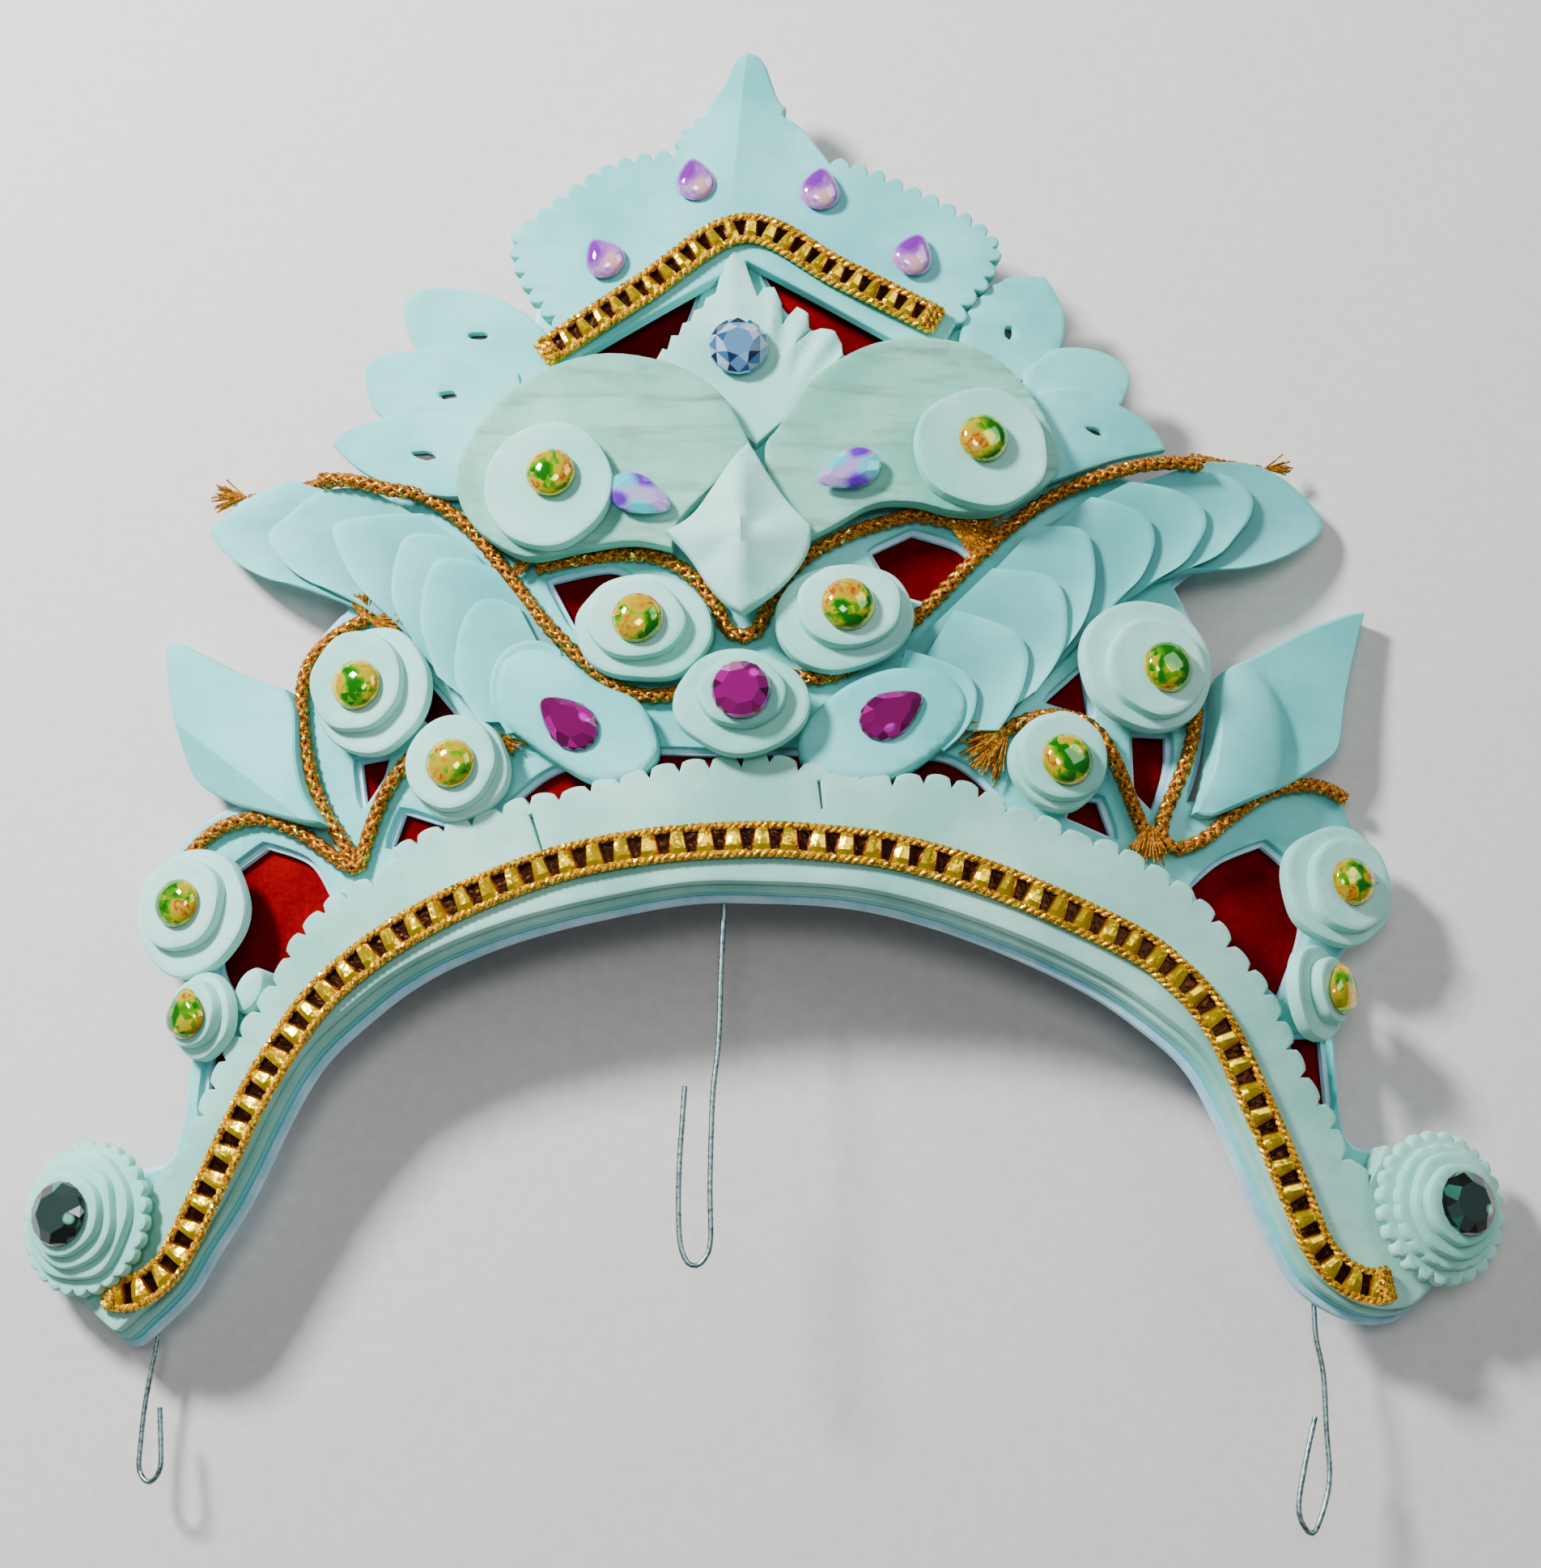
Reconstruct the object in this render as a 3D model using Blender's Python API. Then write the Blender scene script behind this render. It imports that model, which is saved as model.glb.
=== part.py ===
"""A carved pith bridal crown, lying on its back.

The crown is cut flat and then bent on an upright cylinder. Every piece is laid out on the flat pattern first:
u runs across the crown, v runs up it from its feet, and w is the height above the back of the sheet.
Outlines are tables of (u, v) in shares of HALF_WIDTH and MID_HEIGHT.
"""
import math

import bmesh
import bpy
from mathutils import Matrix, Vector

for old_object in list(bpy.data.objects):
    bpy.data.objects.remove(old_object)

MM = 0.001

# Driving sizes, in metres
HALF_WIDTH = 0.100        # centre line to a wing tip, measured along the sheet
MID_HEIGHT = 0.100        # the feet to the middle of the centre rosette
BEND_RADIUS = 0.250       # cylinder that the sheet is bent on
FACET_PITCH = 0.015       # width of one flat facet of a bent sheet
GAP = 0.0003              # clearance between pieces that touch

BACKING_THICK = 0.0010    # red paper behind the windows
BACKING_MARGIN = 0.009    # how far the paper stays inside the edge of the card
FRAME_THICK = 0.0027      # card with its pith ribs
BAND_THICK = 0.0040       # laminated forehead band
BAND_STEP = 0.0012        # card that shows below the band
NOTCH_PITCH = 0.0040      # teeth along the top of the band
NOTCH_DEPTH = 0.0011
SCALLOP_PITCH = 0.0036    # scallops round the crest
SCALLOP_DEPTH = 0.0011
CREST_THICK = 0.0030
TRIM_WIDTH = 0.0056       # folded gold trim on band and crest
CREST_TRIM_WIDTH = 0.0050
TRIM_THICK = 0.0014
LEAF_THICK = 0.0030
PETAL_THICK = 0.0026
PETAL_CROWN = 0.0010      # how far the top of a petal rises inside its rim
PETAL_RIM = 0.0020
PETAL_DISC_THICK = 0.0024
KITE_EDGE = 0.0012
KITE_RISE = 0.0065
SIDE_KITE_EDGE = 0.0026
SIDE_KITE_RISE = 0.0042
SCALE_LOW = 0.0014        # wing scales: where one dives under the next
SCALE_HIGH = 0.0036       # wing scales: at their free edge
SCALE_STEP = 0.0013       # length of the steep side of a scale
SCALE_SIDE = 0.62         # height of a scale at its two ends, of its middle
WING_END = 0.70           # height of the innermost edge of a wing, of a scale's free edge
CORD_RADIUS = 0.00115
WIRE_RADIUS = 0.00045
TIER_THICK = 0.0024
FOOT_SHARE = 0.45         # radius of the spool under a rosette, of its lowest tier
TOOTH_DEPTH = 0.0016      # cut edge of the end rosettes
END_TEETH = 18
TIER_SIDES = 16
GEM_SIDES = 10
GEM_TABLE = 0.55          # width of a stone's table, of its girdle
GEM_BACK = 0.80           # width of a stone's back, of its girdle
GEM_HEIGHT = 0.50         # height of a stone, of its half width
GEM_GIRDLE = 0.35         # height of the girdle, of the stone
PEAR_NARROW = 0.80        # width of a pear stone beside its point, of its round end
PEAR_SWELL = 0.35         # how fast it widens from there
PEAR_LONG = 1.1           # stones longer than this, of their width, have a point
CORD_STEP = 0.0055        # spacing of the points along a cord
WIRE_STEP = 0.0044        # spacing of the points along a wire
CURVE_PARTS = 12          # fine steps between two chosen points of a route
FLAT_ANGLE = math.radians(0.5)   # faces closer than this to one plane are one face

# Levels above the back of the sheet
FRAME_BACK = BACKING_THICK + GAP
FRAME_FACE = FRAME_BACK + FRAME_THICK
SEAT = FRAME_FACE + GAP                       # band, crest, leaves, wings and cords
BAND_SEAT = SEAT + BAND_THICK + GAP           # trim and end rosettes
CREST_SEAT = SEAT + CREST_THICK + GAP
UPPER_SEAT = SEAT + LEAF_THICK + GAP          # petals, and the tiers over cords
PETAL_TOP = UPPER_SEAT + PETAL_THICK + PETAL_CROWN
CENTRE_SEAT = UPPER_SEAT + TIER_THICK + GAP   # centre rosette over its neighbours
END_SEAT = BAND_SEAT + TRIM_THICK + GAP       # end rosettes over the trim

COLOURS = {
    "pith": ((0.78, 0.86, 0.84), 0.75, 0.0),
    "card": ((0.72, 0.76, 0.86), 0.55, 0.0),
    "crimson_paper": ((0.35, 0.01, 0.02), 0.5, 0.0),
    "gold_foil": ((0.85, 0.62, 0.18), 0.25, 1.0),
    "gold_cord": ((0.80, 0.42, 0.08), 0.4, 0.6),
    "steel_wire": ((0.42, 0.43, 0.40), 0.4, 1.0),
    "rainbow_glass": ((0.72, 0.70, 0.22), 0.08, 0.2),
    "lilac_glass": ((0.72, 0.50, 0.72), 0.08, 0.2),
    "purple_glass": ((0.42, 0.02, 0.34), 0.08, 0.2),
    "clear_glass": ((0.70, 0.78, 0.84), 0.05, 0.1),
}

parts = bpy.data.collections.new("bridal_crown")
cutters = bpy.data.collections.new("cutters")
bpy.context.scene.collection.children.link(parts)
bpy.context.scene.collection.children.link(cutters)
rest_frame = bpy.data.objects.new("rest_frame", None)
parts.objects.link(rest_frame)


def material(finish):
    """One Principled material for each finish, shared by the pieces that have it."""
    found = bpy.data.materials.get(finish)
    if found:
        return found
    colour, roughness, metallic = COLOURS[finish]
    made = bpy.data.materials.new(finish)
    made.use_nodes = True
    shader = made.node_tree.nodes["Principled BSDF"]
    shader.inputs["Base Color"].default_value = (*colour, 1.0)
    shader.inputs["Roughness"].default_value = roughness
    shader.inputs["Metallic"].default_value = metallic
    made.diffuse_color = (*colour, 1.0)
    return made


def add_part(name, mesh, finish):
    """Put a finished mesh into the crown."""
    mesh.name = name
    mesh.materials.clear()
    mesh.materials.append(material(finish))
    part = bpy.data.objects.new(name, mesh)
    part.parent = rest_frame
    parts.objects.link(part)
    return part


def bent(u, v, w):
    """Where a point of the flat pattern lies on the bent crown."""
    turn = u / BEND_RADIUS
    reach = BEND_RADIUS + w
    return Vector((reach * math.sin(turn), v, reach * math.cos(turn) - BEND_RADIUS))


def place(rows):
    """Table rows of (u, v) shares as lengths on the pattern."""
    return [(row[0] * HALF_WIDTH, row[1] * MID_HEIGHT) for row in rows]


def facet_point(u, v, w):
    """A point of the pattern on the flat facet that it falls on."""
    left = (math.floor(u / FACET_PITCH + 0.5) - 0.5) * FACET_PITCH
    return bent(left, v, w).lerp(bent(left + FACET_PITCH, v, w), (u - left) / FACET_PITCH)


def bend_mesh(mesh):
    """Cut a flat solid along the facet lines, drop the edges that this leaves spare, and bend it."""
    work = bmesh.new()
    work.from_mesh(mesh)
    widest = max(abs(vertex.co.x) for vertex in work.verts)
    folds = [side * (line + 0.5) * FACET_PITCH for line in range(int(widest / FACET_PITCH) + 1)
             for side in (-1, 1)]
    for u in folds:
        bmesh.ops.bisect_plane(work, geom=work.verts[:] + work.edges[:] + work.faces[:],
                               dist=1e-7, plane_co=(u, 0, 0), plane_no=(1, 0, 0))
    spare = [edge for edge in work.edges
             if not any(max(abs(vertex.co.x - u) for vertex in edge.verts) < 1e-6 for u in folds)]
    bmesh.ops.dissolve_limit(work, angle_limit=FLAT_ANGLE, verts=work.verts[:], edges=spare)
    for vertex in work.verts:
        vertex.co = facet_point(*vertex.co)
    bmesh.ops.recalc_face_normals(work, faces=work.faces[:])
    work.to_mesh(mesh)
    work.free()
    return mesh


def flat_solid(name, loops, back, thick):
    """A flat outline with holes, as thick as its card or pith, on the pattern."""
    curve = bpy.data.curves.new(name, "CURVE")
    curve.dimensions = "2D"
    curve.fill_mode = "BOTH"
    curve.extrude = thick / 2
    for loop in loops:
        spline = curve.splines.new("POLY")
        spline.points.add(len(loop) - 1)
        for point, (u, v) in zip(spline.points, loop):
            point.co = (u, v, 0, 1)
        spline.use_cyclic_u = True
    drawn = bpy.data.objects.new(name, curve)
    cutters.objects.link(drawn)
    drawn.location.z = back + thick / 2
    bpy.context.view_layer.update()
    shape = drawn.evaluated_get(bpy.context.evaluated_depsgraph_get())
    mesh = bpy.data.meshes.new_from_object(shape)
    mesh.transform(drawn.matrix_world)
    bpy.data.objects.remove(drawn)
    work = bmesh.new()
    work.from_mesh(mesh)
    bmesh.ops.remove_doubles(work, verts=work.verts[:], dist=1e-6)
    bmesh.ops.recalc_face_normals(work, faces=work.faces[:])
    work.to_mesh(mesh)
    work.free()
    return mesh


def joined(name, meshes):
    """Flat solids that overlap, fused into one body by Boolean unions."""
    pieces = []
    for number, mesh in enumerate(meshes):
        piece = bpy.data.objects.new(f"{name}_piece_{number}", mesh)
        piece.hide_render = True
        piece.display_type = "WIRE"
        cutters.objects.link(piece)
        pieces.append(piece)
    for piece in pieces[1:]:
        union = pieces[0].modifiers.new("union", "BOOLEAN")
        union.operation = "UNION"
        union.solver = "EXACT"
        union.object = piece
    bpy.context.view_layer.update()
    shape = pieces[0].evaluated_get(bpy.context.evaluated_depsgraph_get())
    mesh = bpy.data.meshes.new_from_object(shape)
    for piece in pieces:
        bpy.data.objects.remove(piece)
    return mesh


def loft(rings):
    """A closed body through rings that have the same number of points each."""
    work = bmesh.new()
    made = [[work.verts.new(point) for point in ring] for ring in rings]
    count = len(rings[0])
    for lower, upper in zip(made, made[1:]):
        for number in range(count):
            after = (number + 1) % count
            work.faces.new((lower[number], lower[after], upper[after], upper[number]))
    work.faces.new(list(reversed(made[0])))
    work.faces.new(made[-1])
    bmesh.ops.recalc_face_normals(work, faces=work.faces[:])
    mesh = bpy.data.meshes.new("loft")
    work.to_mesh(mesh)
    work.free()
    return mesh


def seat_matrix(u, v, w, outward=0.0, spin=0.0):
    """The place of a stiff piece on the bent sheet; outward tips it away from the centre line."""
    turn = u / BEND_RADIUS + math.copysign(outward, u)
    return (Matrix.Translation(bent(u, v, w)) @ Matrix.Rotation(turn, 4, "Y")
            @ Matrix.Rotation(spin, 4, "Z"))


def set_piece(name, mesh, finish, matrix):
    """A stiff piece, placed by its own location and rotation."""
    piece = add_part(name, mesh, finish)
    piece.matrix_local = matrix
    return piece


def offset_line(line, distance):
    """A line moved sideways by a distance, to its left."""
    moved = []
    for number, (u, v) in enumerate(line):
        before = Vector(line[max(number - 1, 0)])
        after = Vector(line[min(number + 1, len(line) - 1)])
        along = (after - before).normalized()
        moved.append((u - along.y * distance, v + along.x * distance))
    return moved


def smooth_line(points, step):
    """Evenly spaced points on a Catmull-Rom curve through the given ones."""
    dense = []
    ends = [points[0]] + list(points) + [points[-1]]
    for p0, p1, p2, p3 in zip(ends, ends[1:], ends[2:], ends[3:]):
        a, b, c, d = (Vector(p) for p in (p0, p1, p2, p3))
        for part in range(CURVE_PARTS):
            t = part / CURVE_PARTS
            dense.append(0.5 * ((2 * b) + (c - a) * t + (2 * a - 5 * b + 4 * c - d) * t ** 2
                                + (3 * b - a - 3 * c + d) * t ** 3))
    dense.append(Vector(points[-1]))
    lengths = [0.0]
    for before, after in zip(dense, dense[1:]):
        lengths.append(lengths[-1] + (after - before).length)
    count = max(2, round(lengths[-1] / step))
    even = []
    here = 0
    for number in range(count + 1):
        wanted = lengths[-1] * number / count
        while here < len(lengths) - 2 and lengths[here + 1] < wanted:
            here += 1
        span = lengths[here + 1] - lengths[here]
        share = (wanted - lengths[here]) / span if span else 0.0
        even.append(dense[here].lerp(dense[here + 1], min(share, 1.0)))
    return even


def toothed(line, pitch, depth):
    """A line with V notches cut into its right side, one at every pitch."""
    even = [(point.x, point.y) for point in smooth_line([(u, v, 0) for u, v in line], pitch / 2)]
    inner = offset_line(even, -depth)
    return [inner[number] if number % 2 else even[number] for number in range(len(even))]


def tube(name, routes, radius):
    """Round tubes along bent routes of (u, v, w), fused where there are several."""
    meshes = []
    for route in routes:
        curve = bpy.data.curves.new(name, "CURVE")
        curve.dimensions = "3D"
        curve.bevel_depth = radius
        curve.bevel_resolution = 2
        curve.use_fill_caps = True
        spline = curve.splines.new("POLY")
        spline.points.add(len(route) - 1)
        for point, spot in zip(spline.points, route):
            point.co = (*bent(*spot), 1)
        drawn = bpy.data.objects.new(name, curve)
        cutters.objects.link(drawn)
        bpy.context.view_layer.update()
        shape = drawn.evaluated_get(bpy.context.evaluated_depsgraph_get())
        mesh = bpy.data.meshes.new_from_object(shape)
        bpy.data.objects.remove(drawn)
        work = bmesh.new()
        work.from_mesh(mesh)
        bmesh.ops.remove_doubles(work, verts=work.verts[:], dist=1e-6)
        bmesh.ops.recalc_face_normals(work, faces=work.faces[:])
        work.to_mesh(mesh)
        work.free()
        meshes.append(mesh)
    return meshes[0] if len(meshes) == 1 else joined(name, meshes)


# Arch of the crown's lower edge, left foot to right foot: (u, v)
ARCH = [(-1.06, -0.01), (-1.01, 0.02), (-0.95, 0.07), (-0.91, 0.13), (-0.86, 0.20), (-0.82, 0.27),
        (-0.79, 0.33), (-0.75, 0.40), (-0.71, 0.45), (-0.65, 0.50), (-0.58, 0.55), (-0.50, 0.59),
        (-0.38, 0.63), (-0.24, 0.66), (-0.11, 0.68), (0.00, 0.68), (0.15, 0.67), (0.28, 0.64),
        (0.42, 0.59), (0.55, 0.53), (0.64, 0.47), (0.70, 0.42), (0.74, 0.36), (0.79, 0.25),
        (0.83, 0.16), (0.87, 0.08), (0.91, 0.04), (0.97, 0.01), (1.03, 0.00), (1.08, 0.01)]
# Rounded feet behind the end rosettes, from the arch round to the outside: (u, v)
LEFT_FOOT = [(-1.11, 0.02), (-1.15, 0.06), (-1.16, 0.14), (-1.13, 0.23), (-1.07, 0.28)]
RIGHT_FOOT = [(1.13, 0.05), (1.16, 0.12), (1.15, 0.20), (1.10, 0.27), (1.05, 0.29)]

# Outer edge of the card from the left foot up over the crest to the right foot: (u, v)
CARD_EDGE = [(-1.01, 0.31), (-0.99, 0.49), (-0.99, 0.56), (-1.03, 0.62), (-1.05, 0.72), (-1.02, 0.82),
             (-0.97, 0.87), (-0.90, 0.895), (-0.82, 0.87), (-0.78, 0.86), (-0.775, 0.92), (-0.79, 1.00),
             (-0.795, 1.09), (-0.76, 1.17), (-0.70, 1.23), (-0.76, 1.30), (-0.77, 1.39), (-0.68, 1.44),
             (-0.60, 1.47), (-0.60, 1.60), (-0.54, 1.70), (-0.44, 1.71), (-0.38, 1.69), (-0.37, 1.78),
             (-0.39, 1.85), (-0.37, 1.90), (-0.32, 1.94), (-0.27, 1.985), (-0.20, 2.00), (-0.11, 2.00),
             (-0.05, 2.07), (-0.02, 2.15), (0.01, 2.15), (0.04, 2.08), (0.10, 2.02), (0.21, 1.965),
             (0.28, 1.935), (0.36, 1.90), (0.40, 1.85), (0.39, 1.79), (0.37, 1.71), (0.44, 1.73),
             (0.50, 1.71), (0.53, 1.62), (0.60, 1.58), (0.62, 1.50), (0.62, 1.46), (0.70, 1.43),
             (0.80, 1.40), (0.81, 1.33), (0.73, 1.25), (0.77, 1.17), (0.79, 1.09), (0.775, 1.00),
             (0.755, 0.92), (0.735, 0.87), (0.80, 0.88), (0.88, 0.915), (0.95, 0.93), (1.02, 0.90),
             (1.06, 0.82), (1.07, 0.73), (1.05, 0.63), (1.01, 0.58), (1.01, 0.53), (1.01, 0.32)]
# Windows cut through the card: (u, v)
WINDOWS = {
    "side_left": [(-0.90, 0.78), (-0.84, 0.815), (-0.76, 0.78), (-0.73, 0.73), (-0.78, 0.66),
                  (-0.83, 0.59), (-0.87, 0.55), (-0.89, 0.62)],
    "side_right": [(0.75, 0.73), (0.80, 0.77), (0.87, 0.80), (0.91, 0.75), (0.90, 0.66), (0.86, 0.58),
                   (0.80, 0.64)],
    "inner_left": [(-0.34, 1.245), (-0.24, 1.26), (-0.20, 1.235), (-0.30, 1.165)],
    "inner_right": [(0.20, 1.285), (0.27, 1.32), (0.34, 1.30), (0.365, 1.28), (0.29, 1.20), (0.24, 1.22)],
    "top_left": [(-0.27, 1.63), (-0.09, 1.745), (-0.12, 1.69), (-0.17, 1.63)],
    "top_right": [(0.03, 1.77), (0.24, 1.675), (0.17, 1.64), (0.10, 1.70), (0.06, 1.73)],
    "crescent": [(-0.41, 0.85), (-0.33, 0.91), (-0.20, 0.935), (-0.05, 0.93), (0.05, 0.93),
                 (0.20, 0.925), (0.32, 0.92), (0.40, 0.86), (0.28, 0.865), (0.15, 0.875), (0.00, 0.89),
                 (-0.15, 0.88), (-0.30, 0.845)],
    "stack_left_1": [(-0.56, 1.09), (-0.50, 1.015), (-0.53, 0.99), (-0.575, 1.03)],
    "stack_left_2": [(-0.67, 0.95), (-0.62, 0.955), (-0.63, 0.92), (-0.66, 0.875)],
    "stack_left_3": [(-0.59, 0.855), (-0.51, 0.825), (-0.57, 0.80), (-0.61, 0.80)],
    "stack_right_1": [(0.49, 1.03), (0.555, 1.09), (0.565, 1.01)],
    "stack_right_2": [(0.64, 0.98), (0.70, 0.98), (0.695, 0.92), (0.67, 0.85), (0.64, 0.88)],
    "stack_right_3": [(0.53, 0.865), (0.575, 0.86), (0.595, 0.80), (0.52, 0.83)],
    "sliver_left": [(-0.97, 0.49), (-0.945, 0.48), (-0.935, 0.38), (-0.965, 0.38)],
    "sliver_right": [(0.92, 0.46), (0.97, 0.475), (0.975, 0.36), (0.945, 0.37)],
}
# Red paper behind the windows, clockwise from the left leg: (u, v)
BACKING = [(-0.955, 0.36), (-0.95, 0.60), (-0.99, 0.75), (-0.90, 0.865), (-0.79, 0.84), (-0.74, 0.90),
           (-0.75, 1.10), (-0.68, 1.18), (-0.72, 1.33), (-0.56, 1.44), (-0.55, 1.60), (-0.48, 1.68),
           (-0.34, 1.65), (-0.33, 1.80), (-0.20, 1.95), (0.00, 2.02), (0.20, 1.91), (0.35, 1.80),
           (0.34, 1.66), (0.47, 1.67), (0.55, 1.55), (0.57, 1.42), (0.76, 1.33), (0.68, 1.20),
           (0.74, 1.10), (0.70, 0.90), (0.76, 0.84), (0.90, 0.89), (1.00, 0.82), (1.00, 0.64),
           (0.985, 0.36)]
# Top of the forehead band, left to right: (u, v)
BAND_TOP = [(-1.02, 0.24), (-0.98, 0.29), (-0.94, 0.40), (-0.91, 0.47), (-0.86, 0.53), (-0.82, 0.60),
            (-0.79, 0.65), (-0.74, 0.69), (-0.68, 0.72), (-0.61, 0.75), (-0.58, 0.79), (-0.51, 0.82),
            (-0.44, 0.835), (-0.37, 0.86), (-0.31, 0.865), (-0.24, 0.885), (-0.17, 0.90), (-0.11, 0.91),
            (-0.04, 0.915), (0.02, 0.92), (0.08, 0.905), (0.15, 0.895), (0.22, 0.885), (0.29, 0.885),
            (0.35, 0.87), (0.42, 0.835), (0.47, 0.82), (0.53, 0.79), (0.58, 0.78), (0.62, 0.76),
            (0.69, 0.72), (0.76, 0.67), (0.80, 0.61), (0.85, 0.56), (0.88, 0.49), (0.92, 0.39),
            (0.95, 0.33), (0.97, 0.27), (1.01, 0.245)]
# Middle of the gold trim on the band: (u, v)
BAND_TRIM = [(-1.07, 0.075), (-1.02, 0.07), (-0.965, 0.10), (-0.93, 0.15), (-0.895, 0.22), (-0.86, 0.29),
             (-0.82, 0.37), (-0.77, 0.45), (-0.71, 0.53), (-0.64, 0.59), (-0.57, 0.635), (-0.50, 0.67),
             (-0.44, 0.695), (-0.37, 0.72), (-0.30, 0.74), (-0.22, 0.755), (-0.13, 0.765), (0.00, 0.77),
             (0.09, 0.765), (0.21, 0.75), (0.34, 0.715), (0.47, 0.665), (0.61, 0.60), (0.67, 0.555),
             (0.71, 0.515), (0.75, 0.455), (0.79, 0.365), (0.83, 0.27), (0.865, 0.18), (0.89, 0.12),
             (0.93, 0.075), (0.98, 0.055), (1.02, 0.06)]
# Crest edge from its left foot over the tip to its right foot, and its V-shaped lower edge: (u, v)
CREST_EDGE = [(-0.36, 1.64), (-0.345, 1.70), (-0.39, 1.78), (-0.42, 1.85), (-0.40, 1.91), (-0.34, 1.96),
              (-0.28, 2.01), (-0.21, 2.03), (-0.13, 2.03), (-0.10, 2.06), (-0.06, 2.10), (-0.04, 2.15),
              (-0.02, 2.19), (0.01, 2.19), (0.03, 2.16), (0.06, 2.10), (0.11, 2.05), (0.17, 2.01),
              (0.22, 1.99), (0.29, 1.965), (0.38, 1.92), (0.43, 1.86), (0.42, 1.79), (0.375, 1.72),
              (0.36, 1.67)]
CREST_FOOT = [(0.34, 1.645), (-0.01, 1.80), (-0.34, 1.60)]
CREST_TRIM = [(-0.345, 1.64), (-0.18, 1.75), (-0.01, 1.86), (0.15, 1.775), (0.31, 1.69)]
# Serrated leaf above the centre kite: (u, v)
FAN_LEAF = [(-0.02, 1.755), (0.00, 1.72), (0.03, 1.735), (0.05, 1.71), (0.055, 1.68), (0.08, 1.69),
            (0.10, 1.67), (0.10, 1.64), (0.13, 1.65), (0.15, 1.63), (0.14, 1.59), (0.05, 1.52),
            (0.03, 1.485), (-0.03, 1.485), (-0.06, 1.53), (-0.15, 1.585), (-0.155, 1.62), (-0.12, 1.65),
            (-0.12, 1.68), (-0.09, 1.69), (-0.06, 1.71), (-0.055, 1.74)]
# Three leaves on each side, and the slits cut in them: (u, v)
LEAVES_LEFT = [(-0.31, 1.56), (-0.365, 1.59), (-0.385, 1.66), (-0.41, 1.73), (-0.45, 1.77), (-0.52, 1.79), (-0.58, 1.79),
               (-0.605, 1.76), (-0.60, 1.71), (-0.58, 1.685), (-0.63, 1.685), (-0.66, 1.67), (-0.675, 1.64),
               (-0.66, 1.60), (-0.61, 1.565), (-0.66, 1.565), (-0.70, 1.55), (-0.72, 1.53), (-0.71, 1.50),
               (-0.69, 1.48), (-0.63, 1.44), (-0.54, 1.42), (-0.47, 1.44), (-0.40, 1.50)]
LEAVES_RIGHT = [(0.32, 1.56), (0.37, 1.60), (0.395, 1.68), (0.415, 1.74), (0.45, 1.78), (0.51, 1.79), (0.54, 1.76),
                (0.545, 1.71), (0.52, 1.66), (0.58, 1.665), (0.63, 1.65), (0.655, 1.62), (0.64, 1.575),
                (0.58, 1.565), (0.65, 1.56), (0.70, 1.53), (0.715, 1.49), (0.65, 1.47), (0.58, 1.44),
                (0.52, 1.43), (0.45, 1.48)]
# Slits: (u, v, half length, turn in degrees)
SLITS_LEFT = [(-0.50, 1.725, 0.026, -30), (-0.56, 1.62, 0.028, -10), (-0.595, 1.505, 0.028, 8)]
SLITS_RIGHT = [(0.46, 1.71, 0.024, 40), (0.605, 1.51, 0.026, -20)]
SLIT_HALF_WIDTH = 0.0006
# Big petals beside the kite: (u, v)
PETAL_LEFT = [(-0.01, 1.46), (-0.05, 1.54), (-0.10, 1.60), (-0.16, 1.62), (-0.22, 1.625), (-0.30, 1.605),
              (-0.36, 1.585), (-0.41, 1.57), (-0.45, 1.52), (-0.48, 1.48), (-0.49, 1.42), (-0.48, 1.36),
              (-0.45, 1.32), (-0.38, 1.285), (-0.30, 1.29), (-0.20, 1.305), (-0.13, 1.31), (-0.03, 1.33)]
PETAL_RIGHT = [(0.02, 1.45), (0.04, 1.51), (0.10, 1.58), (0.16, 1.63), (0.22, 1.65), (0.30, 1.65),
               (0.37, 1.63), (0.42, 1.60), (0.46, 1.56), (0.50, 1.50), (0.51, 1.45), (0.50, 1.41),
               (0.47, 1.38), (0.43, 1.355), (0.36, 1.345), (0.23, 1.35), (0.07, 1.315), (0.02, 1.34)]
# Discs on the petals: (u, v), with the disc's radius below
PETAL_DISCS = {"left": (-0.34, 1.40), "right": (0.375, 1.46)}
PETAL_DISC_RADIUS = 0.0105
# Pinched kite in the middle: outline and the top of its fold: (u, v)
CENTRE_KITE = [(0.00, 1.44), (-0.14, 1.30), (-0.02, 1.15), (0.09, 1.27)]
CENTRE_FOLD = (-0.02, 1.30)
# Curled kites at the sides: (u, v)
KITE_LEFT = [(-1.02, 1.19), (-0.92, 1.14), (-0.81, 1.08), (-0.785, 0.96), (-0.755, 0.85), (-0.90, 0.905),
             (-0.97, 0.945), (-1.00, 1.02)]
KITE_LEFT_FOLD = (-0.89, 1.02)
KITE_RIGHT = [(1.04, 1.20), (0.93, 1.15), (0.805, 1.09), (0.775, 0.96), (0.745, 0.85), (0.85, 0.90),
              (0.97, 0.95), (1.005, 1.02)]
KITE_RIGHT_FOLD = (0.88, 1.02)
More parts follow.
